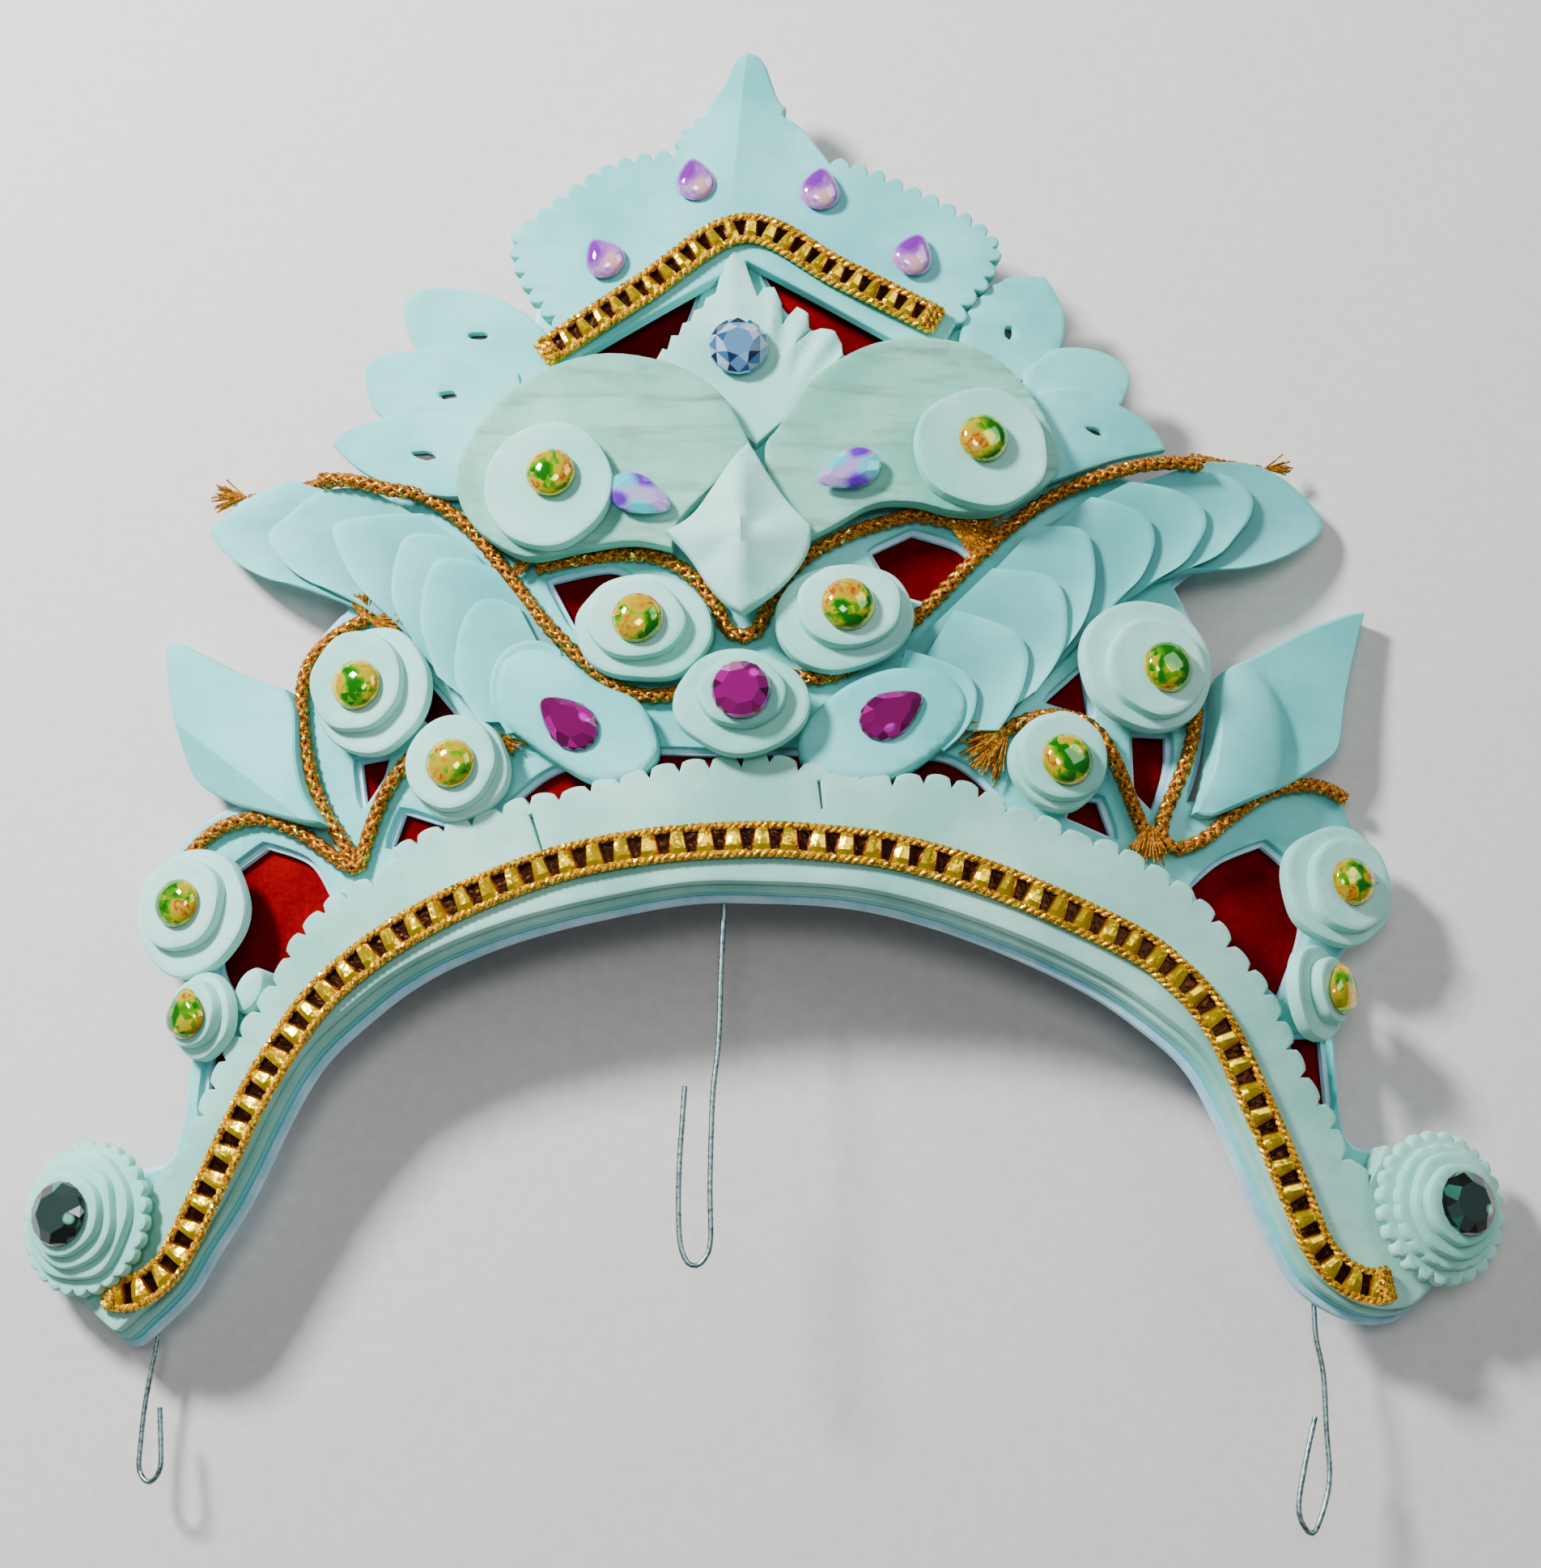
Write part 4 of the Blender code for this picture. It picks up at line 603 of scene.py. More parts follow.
PITH = pith("carved_pith", "#84E0DE", "#5CC6C6", "#6EB8B2", 0.35)
# painted shade, with some dirt: the dark sheet under each slit in the leaves
SLIT_SHADE = pith("slit_shade_pith", "#4A4436", "#241E16", "#1A140E", 0.5)
PITH_WARM = pith("petal_pith", "#8ED0BC", "#60B29E", "#5E7E6E", 0.85)
PITH_WHITE = pith("rosette_pith", "#AEEAE0", "#84D4C6", "#8AC6B8", 0.3)
PITH_BAND = pith("band_pith", "#A8E2D6", "#80C6B8", "#88BCAC", 0.4)
CARD = card_stock()
CRIMSON = crimson_paper()
FOIL = gold_foil()
EDGE_CORD = metal_thread("gold_edge_thread", "#6A3C00", "#DC9C00", "#FFDA20", 0.6)
AMBER_CORD = metal_thread("amber_braid", "#341400", "#A65E00", "#EC9C00", 0.5)
FRAYED = metal_thread("frayed_thread", "#5A2C00", "#AE6C04", "#DE9E18", 0.2)
WIRE = galvanised_wire()
RAINBOW = rainbow_glass()
LILAC = cut_glass("lilac_glass_cut", [(0.0, "#C48CDC"), (0.5, "#B070D0"), (1.0, "#DCAEE0")],
                  [("#8418B4", (-0.45, 0.45), 1.0), ("#EDB4B4", (0.3, -0.5), 0.5)], 0.2)
ICE = cut_glass("ice_glass_cut", [(0.0, "#AE96E4"), (0.5, "#C6B4EC"), (1.0, "#9C84DC")],
                [("#6E1CC8", (-0.75, -0.1), 0.55), ("#20DCEA", (-0.3, -0.75), 0.7),
                 ("#6E1CC8", (0.65, -0.5), 0.5), ("#20DCEA", (0.65, 0.3), 0.55)], 0.2)
# painted highlight: the small bright pink patch; the facets' dark to bright tints are partly painted
# reflection
MAGENTA = cut_glass("magenta_glass_cut", [(0.0, "#4A0038"), (0.5, "#8A0068"), (1.0, "#C0009C")],
                    [("#FF40E8", (0.55, -0.35), 0.2)], 0.5)
# painted reflections: the facets' white and dark blue tints; painted highlight: the white patch
CLEAR = cut_glass("clear_glass_cut", [(0.0, "#2F6CA6"), (0.2, "#CDE8FF"), (0.4, "#6FA8DA"),
                                      (0.55, "#16365C"), (0.7, "#B4DAF8"), (0.85, "#4C86BC")],
                  [("#FFFFFF", (0.45, 0.5), 0.22)], 0.5)
# painted sheen: the green facet tint; painted highlight: the pale green patch
SMOKE = cut_glass("smoke_glass_cut", [(0.0, "#141E1E"), (0.3, "#2E4442"), (0.6, "#0A1010"),
                                      (0.8, "#1E6E5C")], [("#8CE0C4", (0.6, -0.2), 0.2)], 0.35)

# Arch of the crown's lower edge, left foot to right foot: (u, v)
ARCH = [(-1.06, -0.01), (-1.01, 0.02), (-0.95, 0.07), (-0.91, 0.13), (-0.86, 0.20), (-0.82, 0.27),
        (-0.79, 0.33), (-0.75, 0.40), (-0.71, 0.45), (-0.65, 0.50), (-0.58, 0.55), (-0.50, 0.59),
        (-0.38, 0.63), (-0.24, 0.66), (-0.11, 0.68), (0.00, 0.68), (0.15, 0.67), (0.28, 0.64),
        (0.42, 0.59), (0.55, 0.53), (0.64, 0.47), (0.70, 0.42), (0.74, 0.36), (0.79, 0.25),
        (0.83, 0.16), (0.87, 0.08), (0.91, 0.04), (0.97, 0.01), (1.03, 0.00), (1.08, 0.01)]
LEFT_FOOT = [(-1.11, 0.02), (-1.15, 0.06), (-1.16, 0.14), (-1.13, 0.23), (-1.07, 0.28)]
RIGHT_FOOT = [(1.13, 0.05), (1.16, 0.12), (1.15, 0.20), (1.10, 0.27), (1.05, 0.29)]
# Outer edge of the card from the left foot up over the crest to the right foot: (u, v)
CARD_EDGE = [(-0.995, 0.31), (-0.97, 0.49), (-0.97, 0.56), (-1.015, 0.63), (-1.045, 0.72), (-1.02, 0.82),
             (-0.97, 0.87), (-0.90, 0.895), (-0.82, 0.87), (-0.78, 0.86), (-0.775, 0.92), (-0.79, 1.00),
             (-0.795, 1.09), (-0.76, 1.17), (-0.70, 1.23), (-0.76, 1.30), (-0.77, 1.39), (-0.68, 1.44),
             (-0.60, 1.47), (-0.60, 1.60), (-0.54, 1.70), (-0.44, 1.71), (-0.38, 1.69), (-0.37, 1.78),
             (-0.39, 1.85), (-0.37, 1.90), (-0.32, 1.94), (-0.27, 1.985), (-0.20, 2.00), (-0.11, 2.00),
             (-0.05, 2.07), (-0.02, 2.15), (0.01, 2.15), (0.04, 2.08), (0.10, 2.02), (0.21, 1.965),
             (0.28, 1.935), (0.36, 1.90), (0.40, 1.85), (0.39, 1.79), (0.37, 1.71), (0.44, 1.73),
             (0.50, 1.71), (0.53, 1.62), (0.60, 1.58), (0.62, 1.50), (0.62, 1.46), (0.70, 1.43),
             (0.80, 1.40), (0.81, 1.33), (0.73, 1.25), (0.77, 1.17), (0.79, 1.09), (0.775, 1.00),
             (0.755, 0.92), (0.735, 0.87), (0.80, 0.88), (0.88, 0.915), (0.95, 0.93), (1.02, 0.90),
             (1.06, 0.82), (1.06, 0.73), (1.03, 0.64), (0.99, 0.59), (0.99, 0.53), (0.995, 0.32)]
# Windows cut through the card: (u, v)
WINDOWS = [
    [(-0.915, 0.77), (-0.84, 0.815), (-0.76, 0.78), (-0.72, 0.72), (-0.75, 0.65), (-0.79, 0.575),
     (-0.865, 0.535), (-0.92, 0.62)],
    [(0.735, 0.72), (0.79, 0.765), (0.87, 0.80), (0.925, 0.75), (0.935, 0.66), (0.885, 0.54), (0.785, 0.625)],
    [(-0.34, 1.245), (-0.24, 1.26), (-0.20, 1.235), (-0.30, 1.165)],
    [(0.20, 1.285), (0.27, 1.32), (0.34, 1.30), (0.365, 1.28), (0.29, 1.20), (0.24, 1.22)],
    [(-0.31, 1.64), (-0.085, 1.785), (-0.12, 1.69), (-0.17, 1.63)],
    [(0.025, 1.80), (0.27, 1.69), (0.17, 1.64), (0.10, 1.70), (0.06, 1.73)],
    [(-0.41, 0.85), (-0.33, 0.91), (-0.20, 0.935), (-0.05, 0.93), (0.05, 0.93), (0.20, 0.925),
     (0.32, 0.92), (0.40, 0.86), (0.28, 0.865), (0.15, 0.875), (0.00, 0.89), (-0.15, 0.88), (-0.30, 0.845)],
    [(-0.56, 1.09), (-0.50, 1.015), (-0.53, 0.99), (-0.575, 1.03)],
    [(-0.67, 0.95), (-0.62, 0.955), (-0.63, 0.92), (-0.66, 0.875)],
    [(-0.59, 0.855), (-0.51, 0.825), (-0.57, 0.80), (-0.61, 0.80)],
    [(0.49, 1.03), (0.555, 1.09), (0.565, 1.01)],
    [(0.64, 0.98), (0.70, 0.98), (0.695, 0.92), (0.67, 0.85), (0.64, 0.88)],
    [(0.53, 0.865), (0.575, 0.86), (0.595, 0.80), (0.52, 0.83)],
    [(-0.93, 0.475), (-0.895, 0.47), (-0.90, 0.37), (-0.94, 0.37)],
    [(0.90, 0.47), (0.96, 0.475), (0.965, 0.36), (0.93, 0.37)],
]
# Upper edge of the forehead band: (u, v)
BAND_TOP = [(-1.01, 0.24), (-0.955, 0.30), (-0.91, 0.40), (-0.875, 0.47), (-0.83, 0.53), (-0.79, 0.59),
            (-0.765, 0.64), (-0.73, 0.68), (-0.68, 0.72), (-0.61, 0.75), (-0.58, 0.79), (-0.51, 0.82),
            (-0.44, 0.835), (-0.37, 0.86), (-0.31, 0.865), (-0.24, 0.885), (-0.17, 0.90), (-0.11, 0.91),
            (-0.04, 0.915), (0.02, 0.92), (0.08, 0.905), (0.15, 0.895), (0.22, 0.885), (0.29, 0.885),
            (0.35, 0.87), (0.42, 0.835), (0.47, 0.82), (0.53, 0.79), (0.58, 0.78), (0.62, 0.76),
            (0.69, 0.72), (0.75, 0.67), (0.79, 0.61), (0.835, 0.555), (0.868, 0.49), (0.91, 0.39),
            (0.95, 0.33), (0.97, 0.27), (1.01, 0.245)]
# Middle line of the band's gold trim: (u, v)
BAND_TRIM = [(-1.07, 0.075), (-1.02, 0.07), (-0.965, 0.10), (-0.93, 0.15), (-0.895, 0.22), (-0.86, 0.29),
             (-0.82, 0.37), (-0.77, 0.45), (-0.71, 0.53), (-0.64, 0.59), (-0.57, 0.635), (-0.50, 0.67),
             (-0.44, 0.695), (-0.37, 0.72), (-0.30, 0.74), (-0.22, 0.755), (-0.13, 0.765), (0.00, 0.77),
             (0.09, 0.765), (0.21, 0.75), (0.34, 0.715), (0.47, 0.665), (0.61, 0.60), (0.67, 0.555),
             (0.71, 0.515), (0.75, 0.455), (0.79, 0.365), (0.83, 0.27), (0.865, 0.18), (0.89, 0.12),
             (0.93, 0.075), (0.98, 0.055), (1.02, 0.06)]
# Where two strips of the band meet, and a short knife slit: ends, as pixels
BAND_SLITS = [[(655, 1006), (672, 1060)], [(1012, 964), (1016, 998)]]
# Middle line of the crest's gold trim: (u, v)
CREST_TRIM = [(-0.345, 1.64), (-0.18, 1.75), (-0.01, 1.86), (0.15, 1.775), (0.31, 1.69)]

# The crest, as the photograph's pixels: left shoulder, plain tip, right shoulder, lower edge
CREST_LEFT = [(690, 412), (672, 392), (655, 372), (643, 352), (632, 330), (627, 305), (632, 284), (650, 268),
              (672, 251), (697, 232), (725, 212), (752, 198), (790, 188), (830, 183)]
CREST_TIP = [(838, 182), (833, 173), (845, 170), (842, 160), (856, 158), (857, 148), (872, 144), (876, 132),
             (893, 110), (901, 93), (909, 79), (922, 71), (936, 73), (946, 84), (953, 102), (962, 124),
             (972, 134),
             (968, 143), (986, 153), (1000, 168), (1013, 184)]
CREST_RIGHT = [(1030, 190), (1052, 197), (1085, 206), (1120, 222), (1150, 235), (1180, 251), (1206, 268),
               (1228, 287), (1239, 307), (1234, 330), (1224, 352), (1203, 376), (1192, 402)]
CREST_LOW = [(1165, 428), (1130, 432), (924, 322), (700, 448), (680, 440)]
# Ends of the crest's fold, as pixels
CREST_FOLD = [(923, 71), (903, 262)]

# Leaves, lowest first, as pixels: outline, middle and half lengths of the dark slit, its turn in degrees
LEAVES = {
    "left": [
        ([(497, 388), (500, 370), (512, 360), (540, 355), (575, 357), (610, 366), (645, 384), (672, 408),
          (700, 440), (680, 490), (600, 480), (530, 450), (510, 425)], (591, 415), (12, 5), 5),
        ([(450, 465), (452, 450), (470, 438), (505, 432), (550, 433), (600, 444), (640, 460), (650, 510),
          (580, 540), (500, 530), (465, 510), (455, 490)], (553, 488), (11, 5), 5),
        ([(410, 548), (425, 533), (450, 522), (480, 514), (525, 511), (575, 517), (620, 540), (620, 600),
          (560, 614), (505, 605), (462, 591), (430, 570)], (524, 562), (16, 5), 15),
    ],
    "right": [
        ([(1186, 420), (1196, 385), (1215, 362), (1235, 346), (1262, 339), (1292, 341), (1305, 362),
          (1316, 385),
          (1316, 410), (1310, 430), (1290, 455), (1240, 480), (1200, 450)], (1247, 410), (5, 10), 10),
        ([(1300, 432), (1335, 428), (1368, 436), (1390, 450), (1398, 468), (1393, 484), (1380, 505),
          (1330, 530), (1270, 510), (1265, 460)], None, None, 0),
        ([(1282, 484), (1320, 478), (1350, 482), (1385, 500), (1410, 515), (1430, 535), (1441, 556),
          (1380, 568), (1330, 584), (1285, 600), (1262, 540)], (1354, 532), (12, 4), 15),
    ],
}
# The fan leaf, as pixels
FAN = [(907, 309), (919, 317), (926, 338), (936, 364), (944, 352), (957, 354), (966, 372), (967, 398),
       (974, 386),
       (985, 376), (999, 386), (1000, 404), (982, 424), (1001, 406), (1015, 402), (1032, 408), (1041, 421),
       (1042, 436), (1000, 490), (934, 547), (860, 490), (808, 446), (818, 428), (824, 430), (829, 412),
       (838, 412), (843, 397), (853, 394), (857, 381), (868, 378), (872, 366), (884, 360), (889, 340),
       (896, 322)]
# The big petals, and the discs on them: outlines, middles and half lengths, as pixels
BIG_PETALS = {
    "left": [(598, 662), (575, 636), (565, 610), (564, 582), (572, 556), (587, 530), (606, 506), (632, 480),
             (668, 457), (708, 442), (750, 435), (800, 440), (850, 456), (895, 490), (928, 548), (890, 590),
             (840, 640), (830, 676), (780, 668), (720, 676), (650, 688)],
    "right": [(945, 552), (960, 528), (978, 500), (1000, 470), (1030, 446), (1070, 426), (1110, 417),
              (1155, 417),
              (1195, 425), (1232, 444), (1262, 472), (1285, 505), (1302, 540), (1309, 570), (1300, 592),
              (1270, 614), (1230, 632), (1180, 632), (1130, 620), (1080, 622), (1030, 648), (990, 668),
              (955, 610)],
}
DISCS = {"left": ((675, 598), (79, 79)), "right": ((1214, 552), (82, 77))}
# The kites: outlines, and the two ends of the fold of those at the sides, as pixels
KITE = [(925, 547), (937, 566), (952, 590), (976, 622), (1003, 650), (1000, 676), (984, 704), (955, 734),
        (918, 760), (898, 748), (874, 722), (853, 690), (822, 656), (852, 640), (880, 604), (905, 570)]
SIDE_KITES = {
    "left": ([(211, 812), (213, 800), (226, 797), (262, 814), (305, 836), (356, 853), (368, 880), (372, 940),
              (384, 985), (408, 1022), (380, 1020), (330, 1006), (285, 992), (245, 968), (232, 940),
              (226, 905),
              (217, 860)], [(222, 895), (385, 1020)]),
    "right": ([(1675, 762), (1655, 764), (1605, 783), (1555, 808), (1512, 830), (1500, 860), (1496, 920),
               (1488, 970), (1478, 1003), (1500, 1008), (1545, 990), (1595, 968), (1640, 940), (1651, 918),
               (1655, 870), (1664, 815)], [(1535, 915), (1600, 800)]),
}
# Free edges of the wing petals from the tip inwards, as pixels
WING_EDGES = {
    "left": [
        [(352, 591), (305, 614), (275, 638), (257, 655), (285, 690), (330, 714), (385, 722)],
        [(450, 600), (395, 606), (350, 640), (329, 660), (345, 690), (378, 716), (440, 737)],
        [(520, 632), (475, 634), (435, 640), (410, 650), (417, 680), (440, 722), (500, 780)],
        [(570, 665), (530, 658), (500, 662), (488, 690), (483, 720), (486, 750), (515, 800)],
        [(610, 700), (575, 690), (540, 690), (525, 715), (519, 745), (520, 780), (537, 832)],
        [(640, 748), (610, 738), (585, 745), (568, 775), (561, 815), (565, 850), (590, 890)],
        [(690, 800), (665, 790), (635, 795), (613, 815), (605, 845), (608, 875), (625, 905)],
    ],
    "right": [
        [(1500, 568), (1560, 576), (1606, 606), (1636, 650), (1600, 682), (1540, 700), (1475, 700)],
        [(1460, 578), (1520, 588), (1547, 612), (1546, 638), (1530, 660), (1508, 684), (1462, 704)],
        [(1400, 592), (1450, 604), (1484, 622), (1492, 648), (1480, 674), (1462, 696), (1425, 716)],
        [(1350, 612), (1390, 622), (1420, 640), (1428, 668), (1421, 694), (1408, 716), (1385, 734)],
        [(1280, 650), (1318, 648), (1344, 658), (1354, 692), (1352, 730), (1340, 768), (1318, 800)],
        [(1228, 700), (1270, 704), (1303, 714), (1318, 745), (1318, 790), (1304, 822), (1284, 850)],
        [(1180, 752), (1220, 764), (1255, 780), (1271, 808), (1266, 846), (1252, 876), (1236, 900)],
        [(1120, 800), (1155, 812), (1190, 828), (1207, 852), (1204, 882), (1190, 906), (1168, 926)],
    ],
}
# The innermost petals, which carry the stones: outlines, as pixels
WING_ENDS = {
    "left": [(650, 800), (690, 808), (740, 842), (785, 862), (806, 892), (813, 925), (800, 947), (770, 963),
             (735, 965), (697, 947), (650, 915), (618, 888), (610, 850), (620, 815)],
    "right": [(1150, 826), (1100, 824), (1052, 842), (1014, 870), (990, 902), (988, 930), (1004, 952),
              (1036, 963), (1075, 965), (1115, 955), (1152, 932), (1185, 902), (1196, 868), (1180, 838)],
}

# Rows across a wing petal: how far from the free edge to the root, and how far the edge is rounded down
WING_DEPTHS = (0, 0.02, 0.06, 0.13, 0.22, 0.34, 0.47, 0.6, 0.74, 0.87, 1.0)
WING_DROPS = (0.45, 0.1, 0, 0, 0, 0, 0, 0, 0, 0, 0)

# Rosettes: name, (u, v), seat, tiers from the lowest in mm (shift u, v, half width, half height, turn),
# the stone's half width and its shift
ROSETTES = [
    ("inner_stack_left", -0.175, 1.14, UPPER_SEAT, [(0.2, -0.5, 11.6, 9.2, -8), (-1.4, 0.4, 8.3, 7.0, -5)],
     4.3, (-0.8, 0.2)),
    ("inner_stack_right", 0.145, 1.155, UPPER_SEAT, [(0.0, -0.5, 12.0, 9.3, 12), (0.6, 0.9, 8.8, 7.2, 10)],
     4.5, (0.4, 0.5)),
    ("centre_stack", -0.02, 1.00, CENTRE_SEAT, [(-0.1, -0.4, 11.2, 8.8, -4), (0.0, 0.6, 7.4, 5.9, 0)], 4.9,
     (0.0, 0.4)),
    ("upper_stack_left", -0.64, 1.06, UPPER_SEAT, [(1.2, -0.6, 10.4, 10.9, 0), (-0.5, 0.6, 8.2, 8.8, 0)], 4.3,
     (0.1, -0.4)),
    ("upper_stack_right", 0.655, 1.08, UPPER_SEAT, [(-1.0, 0.6, 11.6, 11.8, 0), (-0.2, -0.6, 8.6, 8.6, 0)],
     4.4, (1.2, -0.8)),
    ("mid_stack_left", -0.48, 0.91, UPPER_SEAT, [(0.5, -0.2, 8.4, 8.8, 0), (-0.4, 0.2, 7.8, 8.0, 0)], 4.2,
     (0.0, -0.2)),
    ("mid_stack_right", 0.49, 0.91, UPPER_SEAT, [(-0.3, -0.2, 8.2, 8.4, 0), (0.0, 0.0, 7.6, 7.7, 0)], 4.4,
     (0.2, -0.8)),
    ("outer_stack_left", -0.94, 0.705, UPPER_SEAT, [(0.0, -0.6, 10.4, 11.0, 0), (-0.8, 0.6, 7.8, 8.2, 0)],
     4.1, (-0.5, 0.4)),
    ("outer_stack_right", 0.97, 0.725, UPPER_SEAT, [(0.0, -0.2, 10.4, 10.4, 0), (0.9, -0.2, 7.9, 8.4, 0)],
     4.1, (0.6, -0.1)),
]
# Small rosettes: name, (u, v), how far they tip outwards, and the lowest tier in mm as above
SMALL_ROSETTES = [("small_stack_left", -0.91, 0.52, 12, (0.0, 0.0, 6.6, 7.2)),
                  ("small_stack_right", 0.917, 0.54, 30, (-1.2, -0.4, 7.8, 8.2))]
# The rounded lobe of pith beside the left small rosette, as a pixel
SMALL_LOBE = (305, 1222)
# Rosettes at the band's ends: name, (u, v)
END_ROSETTES = [("end_rosette_left", -1.105, 0.195), ("end_rosette_right", 1.115, 0.185)]

# Cords: (u, v, lift off the frame in shares of the leaf's thickness)
V_CORD = [(-0.36, 1.265, 0), (-0.32, 1.27, 0), (-0.28, 1.275, 0), (-0.22, 1.28, 0), (-0.17, 1.275, 0),
          (-0.13, 1.26, 0), (-0.09, 1.225, 0), (-0.06, 1.18, 0), (-0.045, 1.145, 0), (-0.02, 1.13, 0),
          (0.005, 1.14, 0), (0.02, 1.17, 0), (0.045, 1.22, 0), (0.09, 1.27, 0), (0.16, 1.31, 0),
          (0.23, 1.335, 0), (0.27, 1.345, 0), (0.31, 1.34, 0), (0.34, 1.335, 0), (0.375, 1.325, 0)]
WING_CORD = [(-0.73, 1.445, 1.25), (-0.67, 1.435, 1.25), (-0.61, 1.415, 1.1), (-0.555, 1.405, 0.4),
             (-0.505, 1.37, 0), (-0.46, 1.325, 0), (-0.42, 1.27, 0), (-0.385, 1.22, 0), (-0.345, 1.165, 0),
             (-0.31, 1.125, 0), (-0.27, 1.085, 0), (-0.23, 1.05, 0), (-0.18, 1.03, 0), (-0.12, 1.035, 0),
             (-0.06, 1.065, 0), (-0.01, 1.07, 0), (0.05, 1.06, 0), (0.11, 1.055, 0), (0.16, 1.075, 0),
             (0.21, 1.11, 0), (0.26, 1.155, 0), (0.305, 1.20, 0), (0.36, 1.26, 0), (0.43, 1.33, 0),
             (0.50, 1.385, 0), (0.57, 1.42, 0.4), (0.65, 1.445, 1.1), (0.72, 1.455, 1.25),
             (0.76, 1.455, 1.25)]
# Side cords, as pixels
SIDE_CORDS = {
    "left": [
        [(233, 1058), (256, 1034), (284, 1018), (325, 1011), (368, 1027), (402, 1050), (430, 1070),
         (446, 1070)],
        [(440, 1068), (424, 1040), (400, 1000), (384, 955), (375, 905), (373, 862), (380, 826), (398, 800),
         (425, 780), (462, 760)],
        [(444, 1072), (458, 1024), (476, 980), (502, 942), (532, 916), (552, 908)]],
    "right": [
        [(1662, 988), (1640, 975), (1608, 970), (1565, 980), (1520, 1010), (1490, 1035), (1458, 1048),
         (1438, 1040), (1436, 1015), (1450, 980), (1466, 940), (1476, 895), (1478, 850), (1472, 820)],
        [(1418, 1040), (1402, 1000), (1382, 950), (1362, 912), (1335, 890), (1300, 884), (1262, 892),
         (1236, 908)]],
}
# Short tails of the wing cord below the wing tips, as pixels
CORD_TAILS = [[(412, 594), (370, 606), (308, 620)], [(1472, 568), (1515, 577), (1558, 584)]]
# Wire hooks: (u, v)
HOOKS = {
    "centre": [(-0.05, 0.75), (-0.055, 0.66), (-0.06, 0.57), (-0.065, 0.45), (-0.075, 0.36), (-0.08, 0.22),
               (-0.08, 0.13), (-0.09, 0.10), (-0.105, 0.09), (-0.12, 0.10), (-0.13, 0.14), (-0.13, 0.24),
               (-0.12, 0.38)],
    "left": [(-1.02, 0.09), (-1.03, 0.00), (-1.04, -0.05), (-1.05, -0.11), (-1.055, -0.17), (-1.055, -0.21),
             (-1.035, -0.23), (-1.015, -0.21), (-1.015, -0.17), (-1.02, -0.11)],
    "right": [(0.93, 0.11), (0.93, 0.04), (0.93, -0.02), (0.94, -0.08), (0.94, -0.17), (0.94, -0.25),
              (0.92, -0.31), (0.90, -0.335), (0.88, -0.30), (0.895, -0.23), (0.92, -0.15)],
}
# Frayed cord ends, as pixels: where they start, where they point, number of threads, and height
FRAYS = {
    "v_cord": [((658, 692), (640, 704), 30, 6.0), ((1162, 632), (1218, 668), 90, 6.0),
               ((1165, 626), (1228, 634), 50, 6.2)],
    "wing_cord": [((304, 614), (270, 616), 40, 6.9), ((1562, 579), (1590, 578), 26, 6.9)],
    "side_cord_left": [((452, 766), (444, 738), 50, 6.2), ((455, 764), (488, 772), 60, 6.2),
                       ((612, 905), (634, 926), 24, 6.0)],
    "side_cord_right": [((1250, 900), (1208, 918), 70, 6.0), ((1246, 904), (1212, 944), 60, 6.0),
                        ((1420, 1020), (1406, 1050), 50, 6.4), ((1424, 1020), (1426, 1056), 50, 6.4)],
}
# Lights: name, place, size, power
LIGHTS = [("key", (-0.40, 0.36, 0.44), 0.11, 10.5), ("fill", (0.55, 0.35, 0.6), 0.5, 2.0),
          ("top", (-0.1, 0.1, 1.2), 0.3, 3)]
# Stones glued to the pith: name, (u, v), height, half width and half length in mm, turn in degrees, finish
SET_STONES = [
    ("crest_pear_1", -0.245, 1.815, CREST_SEAT, 3.4, 4.0, 30, LILAC),
    ("crest_pear_2", -0.09, 1.955, CREST_SEAT, 3.4, 4.0, 8, LILAC),
    ("crest_pear_3", 0.12, 1.935, CREST_SEAT, 3.4, 4.0, -8, LILAC),
    ("crest_pear_4", 0.275, 1.815, CREST_SEAT, 3.4, 4.0, -20, LILAC),
    ("fan_stone", -0.02, 1.64, UPPER_SEAT, 5.2, 5.2, 0, CLEAR),
    ("petal_stone_left", -0.32, 1.40, PETAL_TOP + 0.0024 + GAP, 4.2, 4.2, 0, RAINBOW),
    ("petal_stone_right", 0.37, 1.455, PETAL_TOP + 0.0024 + GAP, 4.2, 4.2, 0, RAINBOW),
    ("petal_pear_left", -0.18, 1.36, PETAL_TOP + GAP, 3.4, 5.8, -116, ICE),
    ("petal_pear_right", 0.155, 1.40, PETAL_TOP + GAP, 3.4, 5.8, 112, ICE),
    ("wing_pear_left", -0.30, 0.98, SEAT + 0.0036 + GAP, 3.9, 6.0, 48, MAGENTA),
    ("wing_pear_right", 0.22, 0.985, SEAT + 0.0036 + GAP, 3.9, 6.0, -58, MAGENTA),
]


def ripple(seed, amount, size):
    """Gentle unevenness of hand-cut pith."""
    def rise(u, v):
        return amount * noise.noise(Vector((u / size, v / size, seed)))
    return rise


def make_frame():
    """Die-cut card with pith strips glued on it; the card shows as a step round every edge."""
    whole = outline(place(CARD_EDGE + RIGHT_FOOT[::-1] + ARCH[::-1] + LEFT_FOOT), 1.5 * MM, 70)
    windows = [outline(place(window), 1.2 * MM, 42) for window in WINDOWS]
    step = FRAME_BACK + CARD_THICK
    card = slab([whole] + windows, FRAME_BACK, step, edge=0.15 * MM, cell=3 * MM)
    ribs = slab([grown(whole, -RIB_INSET)] + [grown(window, WINDOW_RIM) for window in windows],
                step, FRAME_FACE, edge=0.45 * MM, cell=3 * MM)
    add_piece("scroll_frame_card", [bend(card), bend(ribs)], [CARD, PITH], ["scroll_frame"])


